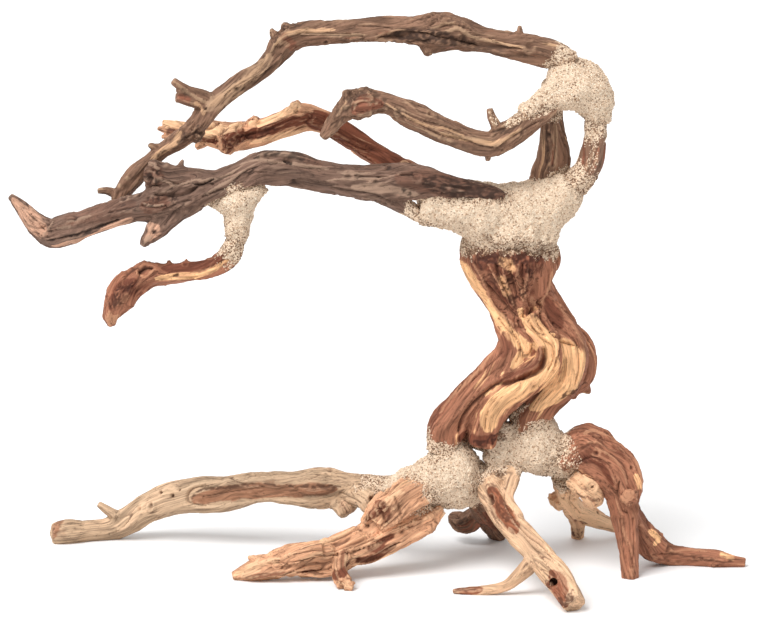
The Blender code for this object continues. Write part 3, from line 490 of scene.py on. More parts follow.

# Marks on the front of a piece: kind, half its width in millimetres, amount, and the points of the line
# that it follows, as the camera sees them: steps to the right of its aim, and above it. The amount of a
# groove, ridge, hole, swell or knot is its height or depth in millimetres, and that of the others a
# share. A groove or hole also paints shade in its core, and a ridge a highlight on its crest; light marks
# are pale streaks, some of which are painted highlights.
MARKS = {
    "trunk": [
        # ragged dark border under the sand of the crown
        ("rough", 5, 1, "79,60 99,56 124,54 149,56 171,62"),
        ("dark", 4.5, 0.9, "83,59 99,56 124,55 149,56 171,62"),
        ("heart", 6, 0.7, "93,48 124,44 164,50"),
        # pale ribbon down the left of the crown
        ("bare", 5.5, 0.8, "77,46 83,36 91,25 100,14"),
        ("bare", 3.2, 1, "100,16 109,1 120,-11 130,-20 139,-29 146,-38 141,-47 133,-52"),
        ("ridge", 1.3, 1.4, "91,47 99,33 106,21 113,8 122,-4 133,-15"),
        # brown strand beside it
        ("heart", 2, 0.45, "119,4 131,-9 143,-19 153,-29 157,-40"),
        ("ridge", 1.6, 0.9, "126,-6 139,-16 150,-25 158,-36 157,-46"),
        # pale strands in the middle
        ("bare", 3.4, 1, "140,-1 144,-12 153,-22 163,-32 168,-45 166,-58 159,-71"),
        ("bare", 3.2, 1, "153,-1 159,-13 169,-24 177,-38"),
        ("bare", 6.5, 1, "185,-31 191,-48 189,-66 179,-81 167,-94"),
        ("bare", 6, 1, "167,-60 149,-76 131,-86 119,-96 111,-108 107,-120"),
        ("bare", 4.5, 1, "175,-50 171,-70 164,-86 149,-96"),
        # deep dark fold between the left strand and the middle
        ("groove", 2.4, 3.6, "161,-36 162,-46 157,-56 147,-61 136,-65"),
        ("groove", 2, 2.8, "138,-64 126,-69 113,-75 103,-82 95,-91 88,-101 83,-112 80,-122"),
        ("heart", 3.2, 0.7, "158,-38 155,-50 145,-57 133,-61 119,-68"),
        ("light", 1, 0.4, "155,-38 151,-48 141,-54 127,-58"),
        # fold under the ribbon
        ("groove", 1.5, 2.4, "101,29 109,19 117,9 125,1 132,-5"),
        ("heart", 2.6, 0.9, "105,30 114,18 123,8 130,1"),
        ("groove", 1, 1.2, "116,-8 127,-18 136,-28 140,-38 133,-48"),
        # lines between the pale strands
        ("groove", 1, 1.6, "149,-2 148,-12 154,-20 163,-26 169,-34 170,-46 167,-56"),
        ("groove", 0.8, 1, "137,-2 136,-12 143,-19"),
        ("groove", 1.1, 1.8, "179,-46 178,-54 175,-63"),
        ("groove", 1.2, 2.2, "171,-18 177,-23 184,-29 191,-33"),
        ("ridge", 1, 0.7, "175,-17 183,-22 191,-28"),
        # gap in front of the rear strand
        ("groove", 2.2, 3, "160,9 164,-2 169,-12 175,-18"),
        ("groove", 1.4, 1.6, "196,-32 200,-44 201,-60 196,-74"),
        # broken wood in the mouth of the crown
        ("rough", 6, 1, "115,46 127,30 135,12"),
        ("rough", 6.5, 1, "149,50 149,32 145,14"),
        ("heart", 7, 0.35, "124,50 134,30 139,12"),
        ("ridge", 1.2, 1.5, "106,46 112,34 121,22 129,10"),
        ("ridge", 1.3, 1.6, "119,48 122,36 129,21 134,6"),
        ("ridge", 1.2, 1.5, "135,46 135,32 139,16"),
        ("ridge", 1.1, 1.3, "150,46 147,30 144,14"),
        ("groove", 1, 1.8, "112,46 118,32 127,18 132,6"),
        ("groove", 1.1, 2, "127,48 129,32 135,16"),
        ("groove", 1.1, 2, "143,46 142,30 142,12"),
        ("groove", 1.2, 2, "158,48 154,32 149,16"),
        # pink rim on the right of the mouth
        ("bark", 3.4, 1, "170,50 167,38 163,24 158,12"),
        ("ridge", 1.1, 1.2, "174,42 171,28 165,14 159,3 152,-4"),
        ("light", 0.9, 0.9, "174,40 171,27 165,13 159,2 152,-5"),
        ("dark", 2, 0.75, "119,50 135,54 153,51"),
        ("dark", 2.2, 0.5, "139,44 146,32 149,20"),
        ("dark", 1.6, 0.8, "85,56 93,48 99,40"),
        ("bare", 3, 0.6, "121,48 128,43"),
        ("bare", 2.6, 0.6, "122,31 127,18"),
        ("light", 2, 0.5, "140,20 145,12"),
        ("dark", 2.4, 0.6, "110,32 114,20"),
        ("dark", 2.4, 0.6, "129,12 133,4"),
        ("hole", 1, 2, "150,12 151,6"),
        ("light", 1.6, 0.8, "153,13 155,7"),
        # left strand: lighter left edge, a painted highlight, and dark upper patch
        ("light", 1.3, 0.6, "111,-38 97,-54 81,-70 67,-85 56,-99"),
        ("heart", 3.2, 0.6, "121,-22 127,-34 119,-44"),
        ("groove", 0.8, 0.7, "124,-50 109,-60 93,-73 79,-88 71,-102"),
        ("groove", 0.8, 0.7, "119,-40 103,-54 87,-69"),
        # cut nub above the gap
        ("bare", 4, 0.85, "99,-100 107,-108 106,-118"),
        ("groove", 0.7, 1.2, "105,-102 106,-112 106,-119"),
        ("groove", 1, 1.6, "95,-102 95,-114 93,-124"),
        ("heart", 3.6, 1, "81,-128 93,-131 105,-131 119,-126"),
        ("dark", 2.6, 0.8, "91,-132 105,-133 122,-125"),
        ("heart", 2.4, 0.5, "65,-60 53,-80 47,-100 43,-116"),
        ("dark", 2, 0.35, "89,-60 75,-76 65,-92"),
        # rear strand: dark top, lighter right edge as a painted highlight, torn bark
        ("heart", 4, 0.8, "168,14 174,0 181,-12"),
        ("light", 1.4, 0.5, "181,8 194,-10 205,-28 211,-44"),
        ("rough", 3, 1, "207,-60 203,-74 189,-84 179,-88"),
        ("dark", 2, 0.85, "207,-72 193,-82 181,-88"),
    ],
    "long_branch": [
        ("swell", 6.5, 2.4, "-234,141 -225,135"),
        ("swell", 4, 1.2, "-231,82"),
        # broken pink face of the left tip
        ("bare", 2.4, 0.9, "-370,115 -361,106 -353,98"),
        ("bare", 6, 0.65, "-361,106 -349,92 -340,82"),
        # darker left half
        ("dark", 7, 0.28, "-321,94 -297,100 -271,106 -247,110"),
        ("heart", 6, 0.5, "-315,98 -285,104 -251,110"),
        ("dark", 4.5, 0.4, "-203,114 -177,115 -149,118"),
        ("rough", 4, 0.5, "-353,96 -343,84"),
        ("groove", 0.9, 1, "-361,105 -351,95 -341,86 -335,88"),
        # cream streak under the left end, with a crack above it
        ("bare", 2.2, 1, "-329,63 -309,68 -289,75 -269,83 -249,90"),
        ("groove", 1, 1.8, "-335,68 -321,71 -301,76 -281,83 -263,90"),
        ("dark", 1.2, 0.9, "-335,68 -321,71 -301,76 -281,83 -263,90"),
        ("dark", 3, 0.4, "-331,76 -301,83 -271,93"),
        ("ridge", 1, 1, "-330,93 -332,86 -339,80 -341,73"),
        ("light", 0.8, 1, "-325,81 -313,83"),
        ("light", 0.7, 0.8, "-317,90 -306,94 -293,98"),
        # torn knot where the upper fork ends
        ("rough", 6, 1, "-233,144 -229,136"),
        ("heart", 6, 0.75, "-235,146 -227,138 -233,128"),
        ("hole", 1.4, 2.6, "-230,134 -228,132"),
        ("light", 1, 0.8, "-228,150 -221,144"),
        # seams between the forks
        ("groove", 1.3, 2, "-229,119 -213,120 -197,121 -181,123 -167,125"),
        ("hole", 1.7, 3.2, "-188,132 -179,131 -171,132"),
        # painted shade in that hole
        ("dark", 1.6, 1, "-189,132 -179,131 -170,132"),
        ("groove", 0.8, 1, "-216,131 -203,131 -189,132"),
        ("light", 0.8, 0.9, "-221,132 -206,130 -189,135 -169,136"),
        ("ridge", 1.1, 0.8, "-175,120 -161,123 -152,128 -143,137 -137,143"),
        ("light", 0.8, 1, "-173,121 -160,124 -151,129 -142,138"),
        ("groove", 0.9, 1.2, "-176,117 -161,120 -150,125 -141,134"),
        ("light", 0.9, 0.9, "-167,134 -156,138 -147,146 -137,152"),
        ("groove", 0.9, 1, "-167,131 -154,136 -145,144"),
        # eroded patch with a raised rim
        ("rough", 4.6, 0.9, "-237,111 -223,115 -205,117"),
        ("heart", 4.2, 0.8, "-235,110 -221,113"),
        ("groove", 1, 1.4, "-241,110 -235,104 -223,102 -213,104"),
        ("light", 0.9, 0.8, "-239,111 -232,107 -221,107"),
        # cut stub
        ("bare", 2.8, 1, "-229,83 -233,72"),
        ("heart", 1.6, 0.7, "-229,81"),
        ("light", 1.8, 0.8, "-234,72 -236,69"),
        ("hole", 0.9, 0.9, "-230,80 -228,78"),
        ("groove", 1, 1.2, "-189,114 -203,106 -217,99"),
        ("groove", 0.9, 1, "-195,106 -207,97 -217,86"),
        ("dark", 2.4, 0.5, "-185,107 -201,92 -217,78"),
        ("dark", 1.6, 0.6, "-262,110 -251,101 -239,98"),
        ("groove", 0.9, 1.1, "-275,100 -259,104 -245,108"),
        # dark ridge on top of the bend
        ("ridge", 2.4, 1.2, "-127,156 -115,160 -97,160 -81,156"),
        ("dark", 2.4, 0.75, "-128,156 -115,161 -97,161 -79,157 -63,153"),
        ("hole", 1, 1.6, "-95,154 -89,152"),
        ("light", 1, 0.95, "-141,151 -127,154 -103,154 -81,150 -51,145"),
        ("groove", 0.8, 1, "-123,154 -105,153 -81,148 -55,143"),
        ("heart", 1.5, 0.5, "-75,154 -59,150"),
        # lines and hole towards the crown
        ("groove", 1, 1.3, "-29,136 -13,135 3,139"),
        ("light", 0.8, 0.9, "-51,134 -31,131 -9,135 13,140"),
        ("light", 0.8, 0.7, "-41,140 -21,141 -1,144"),
        ("hole", 1.1, 2, "22,141 31,141"),
        ("knot", 3.2, 0.6, "37,138"),
        ("groove", 0.8, 0.8, "44,126 59,122 74,115 89,109"),
        ("light", 2.6, 0.9, "-25,126 5,122 37,115"),
        ("dark", 1.5, 0.8, "23,120 29,116"),
        ("groove", 1.1, 1.2, "-51,122 -31,119 -9,115 11,108"),
        # darker end in the sand
        ("dark", 7.5, 0.75, "49,132 93,122 125,115"),
        ("heart", 8, 0.6, "19,136 55,128 93,121 127,114"),
        ("dark", 2.6, 0.8, "89,111 105,107"),
    ],
    "top_branch": [
        ("swell", 4, 1.6, "-97,284"),
        # worn pale ridge over the left bend
        ("bare", 1.5, 1, "-108,266 -101,276 -91,281 -79,284 -63,285 -47,285"),
        ("ridge", 1.2, 0.9, "-113,259 -105,270 -97,278 -85,282"),
        ("light", 1, 0.9, "-81,276 -59,277 -35,279 -19,277"),
        ("groove", 1, 1.3, "-83,279 -56,280 -31,281"),
        ("groove", 0.8, 0.9, "-81,273 -51,274 -21,274"),
        ("light", 1.6, 0.6, "-101,267 -93,265"),
        ("heart", 3, 0.6, "-95,270 -89,262"),
        ("rough", 3, 1, "-108,270 -105,278 -97,286"),
        ("rough", 2.6, 0.8, "-97,288 -85,291"),
        ("dark", 2, 0.6, "-108,272 -103,280 -93,288 -81,290"),
        # streaks down the left slope
        ("bare", 1.4, 0.8, "-115,255 -127,243 -137,233 -147,224 -157,215 -169,206"),
        ("light", 0.8, 1, "-111,260 -123,248 -133,238"),
        ("light", 4.5, 0.6, "-113,252 -133,232 -151,216 -171,202"),
        ("groove", 0.8, 1, "-117,248 -131,235 -143,224 -155,214"),
        ("dark", 1.4, 0.4, "-81,260 -99,250 -115,236 -131,224"),
        ("bare", 3, 0.45, "-119,240 -135,228 -151,217 -165,206"),
        ("groove", 0.8, 0.9, "-101,256 -119,239 -135,225"),
        # fork
        ("light", 1, 1, "-203,227 -195,220 -187,213 -178,208 -172,210 -168,216"),
        ("groove", 1.4, 1.6, "-200,220 -194,215"),
        ("dark", 2.6, 0.5, "-200,221 -193,215"),
        ("heart", 2.6, 0.7, "-202,212 -191,211"),
        ("dark", 2.6, 0.35, "-195,224 -183,218 -171,218"),
        ("bare", 1.5, 0.7, "-185,206 -177,201"),
        ("hole", 1.2, 1.6, "-174,204"),
        # dark knot below the fork
        ("rough", 5.4, 1, "-197,178 -185,179 -177,177"),
        ("dark", 4, 0.55, "-193,176 -178,178"),
        ("groove", 1.1, 1.4, "-205,172 -195,175 -183,182"),
        # bare stretch above the tail
        ("bare", 2.2, 0.9, "-201,182 -209,170 -219,159 -228,154"),
        ("dark", 1.4, 0.7, "-203,172 -191,174"),
        ("dark", 1, 0.7, "-214,160 -221,154"),
        # dark tail
        ("dark", 3.2, 0.45, "-239,145 -254,128 -268,120"),
        ("light", 1, 0.7, "-257,137 -254,133"),
        ("light", 1.2, 0.7, "-264,128"),
        ("light", 1.4, 0.6, "-279,122"),
        # long hollow along the right half, with a pale lip
        ("ridge", 1.4, 1, "5,275 13,279 31,282 59,283 77,281 87,276 97,271"),
        ("light", 1.1, 0.9, "5,275 13,279 31,282 59,283 77,281 87,276 97,271 113,268 127,266"),
        ("bark", 4.4, 1, "11,272 33,273 59,272 79,269 95,264"),
        ("dark", 4.2, 0.85, "5,271 23,273 39,274 59,273 75,270 93,265"),
        ("groove", 3.6, 3.2, "-1,271 17,274 33,276 59,275 75,272 97,265"),
        ("groove", 1.6, 1.5, "85,270 99,265 119,262 139,260"),
        ("bare", 1.2, 0.9, "103,270 119,267 139,264"),
        ("dark", 2.2, 0.6, "91,262 119,257 151,253"),
        ("sand", 2.6, 1, "190,260 195,254"),
        ("rough", 4.2, 0.6, "39,294 57,298 75,294 93,287"),
        ("groove", 0.8, 1, "-29,286 -3,284 9,281"),
        ("groove", 0.8, 1, "23,288 49,287 75,285 93,280"),
        ("light", 0.8, 0.6, "49,287 69,286 81,284"),
        ("groove", 0.8, 0.8, "113,274 139,271 164,268"),
        ("swell", 1.4, 1, "-16,269"),
        ("swell", 1.4, 0.9, "-1,270"),
        ("swell", 1.2, 0.9, "-31,270"),
        ("swell", 1.3, 0.9, "102,283"),
    ],
    "middle_branch": [
        ("groove", 1, 2, "-29,221 -28,215"),
        ("rough", 3, 0.8, "-36,217 -35,208"),
        ("knot", 2.6, 0.7, "-40,199"),
        ("dark", 3, 0.35, "-35,214 -29,208"),
        # charcoal at the broken end
        ("dark", 5, 0.6, "-47,186 -37,206 -29,217 -17,220 3,215"),
        ("rough", 2.5, 0.7, "-36,208 -41,198 -47,188"),
        ("dark", 1.6, 0.5, "-31,194 -43,184"),
        # red oval inside the bend
        ("heart", 4.4, 1, "-29,200 -15,207 0,205"),
        ("light", 0.7, 0.8, "-30,201 -26,207 -19,211 -9,212 -1,209"),
        ("groove", 1, 1, "-25,206 -15,209 -4,208"),
        ("groove", 0.9, 0.9, "-25,199 -15,200"),
        # pale lines and cracks along the branch
        ("bare", 0.9, 0.8, "7,210 27,198 47,188 67,180 85,175"),
        ("groove", 0.9, 1.3, "3,206 23,192 41,184 61,177 81,170 99,164 112,163"),
        ("groove", 0.8, 1, "15,207 39,195 67,184 89,179"),
        ("light", 0.8, 0.8, "19,188 39,180 59,173"),
        ("bare", 1.4, 0.9, "63,179 81,172 99,168 115,169 129,177 141,185"),
        ("dark", 1.8, 0.5, "39,176 69,168 97,160"),
        ("dark", 2, 0.4, "105,156 115,158"),
        ("groove", 1.2, 1.3, "117,162 133,173 149,183 165,194"),
        ("swell", 1.6, 1, "56,197"),
        ("swell", 1.4, 0.8, "57,173"),
        # pale wood beside the upper joint
        ("bare", 2.6, 0.8, "133,195 145,200 157,205"),
        ("sand", 3, 0.8, "127,190 141,199 157,207"),
        ("dark", 2.4, 0.6, "123,180 143,192 167,204"),
        ("sand", 1.6, 0.35, "109,196 115,188"),
    ],
    "back_branch": [
        ("swell", 6, 2, "-151,175"),
        ("groove", 1.6, 2, "-195,184 -175,185 -159,192"),
        ("swell", 3, 1.5, "-206,190"),
        # bare ragged left end
        ("bare", 4.5, 1, "-217,190 -205,190 -191,185 -177,181 -165,186 -141,190"),
        ("dark", 2.2, 0.8, "-226,186 -217,183 -207,180"),
        ("dark", 1.6, 0.7, "-223,178 -213,178 -203,175"),
        ("heart", 2, 0.6, "-213,182 -201,178"),
        ("light", 2, 0.5, "-181,188 -166,190 -146,192"),
        # torn red knot
        ("rough", 5.5, 1, "-155,172 -145,175"),
        ("heart", 5.5, 0.9, "-155,172 -143,176"),
        ("light", 1.4, 0.6, "-157,182 -147,184"),
        # dark red streak along the middle
        ("heart", 3.6, 1, "-143,175 -125,178 -105,182 -85,188 -73,191"),
        ("groove", 2, 1.4, "-141,173 -125,176 -109,180"),
        ("dark", 2.8, 0.75, "-145,171 -125,175 -105,180"),
        ("groove", 0.9, 0.9, "-119,182 -101,190 -83,197"),
        # cream edges
        ("bare", 2.6, 1, "-135,188 -115,193 -97,201 -83,208"),
        ("light", 1.6, 0.8, "-95,206 -81,209"),
        ("bare", 1.6, 0.8, "-129,166 -105,173 -83,178"),
        # even red-brown right half
        ("heart", 9, 0.95, "-69,195 -41,182 -11,164 21,146"),
        ("groove", 0.8, 0.6, "-63,196 -36,180 -9,162"),
    ],
    "hanging_twig": [
        # granular dark red tip
        ("rough", 6, 1, "-253,30 -264,18 -271,4"),
        ("heart", 6, 0.9, "-251,32 -264,18 -271,4"),
        ("dark", 2, 0.8, "-247,30 -259,22 -266,12 -269,4"),
        ("dark", 5, 0.5, "-249,30 -263,16 -273,0"),
        ("light", 2.8, 0.9, "-273,-4 -267,-11 -263,-6"),
        ("bark", 3, 1, "-254,13 -263,2"),
        ("light", 1.8, 0.35, "-253,14 -259,6"),
        # open knot on the elbow, darkened inside with painted shade, with a pale rim
        ("hole", 2.4, 3, "-241,42 -234,44 -228,46"),
        ("dark", 2, 1, "-240,42 -234,44 -228,46"),
        ("light", 0.9, 0.5, "-247,39 -237,38 -227,40"),
        # bare orange strip
        ("bare", 2, 1, "-225,31 -215,34 -199,36 -179,37 -165,42 -153,50 -144,61 -138,69"),
        ("light", 1, 0.6, "-205,36 -181,38 -163,44"),
        ("hole", 0.9, 1, "-208,39 -202,40"),
        ("groove", 0.8, 0.8, "-209,31 -195,32 -181,33"),
        # darker bark towards the joint
        ("heart", 3.4, 0.9, "-215,46 -197,46 -177,49 -159,55 -149,65"),
        ("dark", 1.4, 0.5, "-167,51 -155,57 -147,66"),
    ],
    "left_root": [
        ("groove", 1.2, 1.5, "-175,-173 -189,-175 -196,-181 -196,-188 -190,-194 -177,-196"),
        ("heart", 3, 0.4, "-195,-185 -181,-185 -167,-184"),
        ("swell", 5, 2, "-35,-194 -27,-199"),
        ("swell", 4, 1.6, "-13,-186"),
        # brown inside the long groove
        ("heart", 4.6, 0.9, "-189,-188 -161,-184 -121,-181 -81,-180 -49,-179"),
        ("dark", 1, 1, "-192,-191 -191,-184 -181,-178 -156,-176 -121,-175 -81,-176 -43,-175"),
        ("dark", 2.2, 0.7, "-79,-175 -61,-177 -45,-180"),
        ("groove", 0.8, 0.9, "-181,-185 -151,-182 -119,-178"),
        ("light", 1.2, 0.8, "-191,-195 -169,-197 -139,-194 -109,-190 -77,-191"),
        ("light", 1.4, 0.6, "-201,-178 -181,-169 -151,-166 -109,-163 -69,-158"),
        # holes beyond the groove
        ("hole", 1.3, 2, "-212,-184"),
        ("hole", 1.1, 1.6, "-223,-179"),
        ("hole", 0.9, 1.2, "-204,-177"),
        # knob, and knot beside the joint
        ("rough", 3.6, 0.6, "-39,-193 -29,-201"),
        ("heart", 3.2, 0.4, "-39,-193 -29,-200"),
        ("light", 3, 0.4, "-21,-185 -15,-193"),
        ("hole", 2.4, 3, "-9,-185 -3,-188"),
        ("ridge", 1.2, 1, "-15,-180 -9,-178 -1,-182 3,-188"),
        ("groove", 1, 1.2, "-43,-184 -31,-186 -23,-192"),
        ("groove", 0.9, 0.9, "-75,-166 -59,-160 -41,-162"),
        # worn tip
        ("heart", 2.6, 0.7, "-331,-226 -330,-218 -325,-210 -319,-206"),
        ("dark", 1, 0.6, "-332,-228 -331,-218 -325,-209"),
        ("heart", 3, 0.35, "-325,-218 -321,-224"),
        ("swell", 1.8, 1, "-263,-220"),
    ],
    "front_left_root": [
        ("heart", 2.6, 0.7, "-5,-188 5,-200 3,-212"),
        ("groove", 1.4, 1.8, "-7,-192 1,-202 1,-214 -9,-222"),
        ("groove", 1.2, 1.5, "11,-184 19,-196 21,-208"),
        ("rough", 5, 0.6, "7,-196 13,-206"),
        ("light", 1.6, 0.7, "3,-186 13,-180 23,-178"),
        ("swell", 5, 1.4, "-36,-241"),
        # dark red fissures
        ("groove", 2.2, 2, "-81,-263 -56,-261 -31,-257 -11,-251 7,-241 21,-231"),
        ("heart", 3.4, 0.8, "-75,-263 -41,-259 -9,-250 17,-234"),
        ("groove", 1.1, 1.5, "-89,-244 -69,-237 -45,-234 -21,-226 3,-215"),
        ("groove", 1, 1.3, "-105,-254 -77,-251 -51,-245 -29,-239"),
        ("groove", 1, 1.3, "-59,-229 -36,-221 -15,-210"),
        ("groove", 0.9, 1.1, "-29,-234 -9,-224 11,-212 23,-202"),
        ("heart", 1.8, 0.8, "-15,-207 1,-199"),
        ("heart", 2, 0.8, "-9,-234 13,-224"),
        ("hole", 1, 1.4, "-11,-217"),
        ("hole", 0.9, 1.2, "3,-208"),
        # pale tip
        ("light", 2.4, 0.6, "-141,-262 -123,-254 -105,-246"),
        ("light", 1.4, 0.7, "-81,-233 -51,-226 -31,-216"),
        ("heart", 1.4, 0.6, "-141,-267 -111,-265 -81,-262"),
        # side foot
        ("heart", 2.2, 0.6, "-35,-236 -38,-248 -37,-260"),
        ("groove", 0.9, 1.2, "-41,-238 -43,-250 -39,-262"),
        ("light", 1.4, 0.5, "-34,-268 -29,-274"),
    ],
    "front_root": [
        # dark upper limb
        ("heart", 5, 1, "108,-176 117,-193 127,-208 133,-216"),
        ("dark", 4.5, 0.75, "105,-172 115,-188 127,-206"),
        ("hole", 1.8, 3, "107,-184 108,-188"),
        ("hole", 2.6, 3, "119,-160"),
        # painted shade in that hole
        ("dark", 2.6, 1, "119,-160"),
        ("groove", 1, 1.3, "124,-178 129,-193 139,-210"),
        ("bark", 3, 1, "131,-158 129,-178 137,-193"),
        # cracks down the middle
        ("groove", 1, 1.6, "138,-210 149,-221 159,-229 170,-241"),
        ("groove", 0.8, 1, "143,-222 153,-233 159,-244"),
        ("light", 3, 0.5, "125,-218 139,-238 149,-250"),
        # brown knot with its hole
        ("heart", 4.6, 1, "171,-258 175,-270 179,-284"),
        ("hole", 2.8, 2.6, "173,-270"),
        ("dark", 2.4, 1, "175,-293 186,-287"),
        ("heart", 3.4, 0.9, "175,-282 179,-290"),
        ("dark", 1, 0.7, "191,-276 194,-284"),
        ("light", 2, 0.4, "185,-294 193,-292"),
        # bark on the tip of the side root
        ("heart", 3.2, 1, "69,-276 85,-278 97,-276"),
        ("groove", 1, 1, "73,-275 83,-276 93,-275"),
        ("dark", 3, 0.8, "67,-276 79,-278"),
        ("rough", 1.6, 0.6, "79,-277 97,-276"),
    ],
    "back_root": [
        ("rough", 5, 0.8, "99,-198 119,-213 139,-223"),
        ("heart", 4, 0.8, "109,-206 134,-218"),
        ("dark", 2, 0.7, "75,-213 89,-210"),
    ],
    "arch_root": [
        # lines that follow the arch; the light streaks among them are painted highlights
        ("groove", 1, 1, "191,-140 209,-134 227,-136 243,-148 251,-166"),
        ("groove", 0.8, 0.8, "195,-126 215,-122 235,-128 251,-143 261,-162"),
        ("light", 1.6, 0.8, "203,-119 213,-116 222,-118"),
        ("light", 1.2, 0.6, "219,-136 235,-144 245,-158 249,-172"),
        ("dark", 1.6, 0.6, "197,-135 215,-131 225,-134"),
        ("bare", 1.8, 0.6, "259,-164 262,-176"),
        ("groove", 0.8, 0.9, "193,-152 211,-147 225,-154 233,-170 237,-188"),
        ("groove", 0.9, 1, "219,-116 237,-122 253,-134"),
        ("light", 1, 0.6, "217,-119 235,-124 249,-134"),
        ("light", 1.2, 0.6, "255,-144 265,-158 270,-174"),
        ("light", 0.9, 0.5, "201,-131 221,-129 237,-137"),
        ("heart", 2.4, 0.8, "189,-150 209,-149 222,-158 229,-174"),
        ("heart", 2, 0.6, "195,-143 213,-138 229,-143"),
        ("sand", 4, 0.35, "185,-128 189,-148 185,-168"),
        # cut knot
        ("knot", 3.8, 0.8, "249,-186"),
        ("light", 3, 0.9, "249,-186"),
        ("groove", 1.2, 1.5, "237,-172 233,-186 239,-200 249,-202"),
        # leg
        ("light", 1, 0.5, "243,-218 245,-233"),
        ("groove", 0.9, 1, "253,-208 255,-233 253,-253"),
        ("groove", 0.8, 0.8, "237,-208 241,-233 243,-253"),
        ("light", 2.6, 0.4, "247,-260"),
        ("heart", 2, 0.6, "265,-188 269,-203 271,-218"),
        # right leg
        ("bare", 2.2, 1, "271,-219 280,-225 275,-233"),
        ("dark", 2, 0.6, "287,-242 311,-246 331,-250"),
        ("light", 1, 0.6, "291,-236 309,-235 325,-237"),
        ("bare", 1.8, 0.6, "341,-241 353,-244"),
        ("groove", 0.9, 1, "274,-244 295,-244 319,-247"),
    ],
    "pale_root": [
        ("bare", 7, 0.8, "179,-174 191,-192 211,-208 231,-218"),
        # nub like an eye
        ("light", 3.6, 0.6, "199,-166 211,-165"),
        # painted light that brightens this side, which lies in shade beneath the arch and the joint
        ("light", 6, 0.8, "181,-188 195,-200 211,-210 231,-218"),
        ("dark", 3, 0.8, "187,-224 203,-224"),
        ("heart", 4.5, 0.8, "187,-222 203,-222"),
        ("knot", 3.6, 0.7, "208,-174"),
        ("groove", 0.8, 1, "193,-168 199,-161 209,-159 217,-164"),
        ("hole", 1.2, 1.8, "210,-175"),
        ("groove", 0.9, 1, "199,-170 205,-178 213,-181"),
        ("dark", 1.5, 0.7, "205,-188 219,-190"),
        ("groove", 0.9, 1, "187,-180 191,-193 203,-203"),
    ],
    "crown_joint": [
        # ragged dark border towards the trunk
        ("dark", 4.5, 0.9, "85,60 99,58 124,55 149,58 171,65"),
        ("rough", 6, 1, "83,64 104,62 129,60 154,63 173,69"),
        ("dark", 3, 0.5, "103,72 111,66"),
        ("dark", 2.6, 0.5, "137,69 149,66"),
        ("dark", 2.4, 0.4, "119,66"),
    ],
    "right_foot_joint": [
        # painted shade: a dark patch where a hollow lies beside the trunk
        ("dark", 3.2, 0.9, "111,-122 119,-128"),
    ],
    "rear_strut": [
        ("light", 1.3, 0.6, "175,196 176,172 174,147"),
        ("groove", 1, 1.2, "171,197 172,172 170,144"),
        ("dark", 1.8, 0.6, "165,194 164,167 164,144"),
        ("heart", 1.2, 0.7, "170,167 171,146"),
    ],
    "right_strut": [
        ("light", 2.4, 0.4, "211,164 206,148 196,132"),
        ("dark", 1.6, 0.5, "222,162 219,142 209,124"),
        ("heart", 1.6, 0.5, "217,162 214,144 204,128"),
        ("groove", 0.9, 1, "216,166 213,148 203,130"),
        ("sand", 3, 0.35, "211,162 205,146 195,130"),
    ],
}


def linear(red, green, blue):
    """A colour from 0 to 255, as a light-linear colour."""
    made = []
    for value in (red, green, blue):
        value /= 255
        made.append(value / 12.92 if value < 0.04045 else ((value + 0.055) / 1.055) ** 2.4)
    return made


def tint(name, red, green, blue):
    return FloatVectorProperty(
        name=name, description=f"Colour of the {name.lower()}", subtype="COLOR", size=3,
        min=0.0, max=1.0, default=linear(red, green, blue))


class DriftwoodSizes(bpy.types.PropertyGroup):
    """Sizes of the relief and of the sand."""
    wood_cell: FloatProperty(
        name="Wood cell", description="Size of the faces on the wood", default=0.72 * MM,
        min=0.4 * MM, max=3 * MM, precision=5, unit="LENGTH")
    sand_cell: FloatProperty(
        name="Sand cell", description="Size of the faces on the glued joints", default=0.8 * MM,
        min=0.4 * MM, max=3 * MM, precision=5, unit="LENGTH")
    relief: FloatProperty(
        name="Relief", description="How deep the grain is carved", default=1.0,
        min=0.0, max=3.0, subtype="FACTOR")
    grain_size: FloatProperty(
        name="Sand grain", description="Half the length of a grain of sand", default=0.46 * MM,
        min=0.2 * MM, max=2 * MM, precision=5, unit="LENGTH")
    spill: FloatProperty(
        name="Spill", description="How far sand lies on the wood beside a joint", default=7.0 * MM,
        min=0.0, max=30 * MM, precision=4, unit="LENGTH")


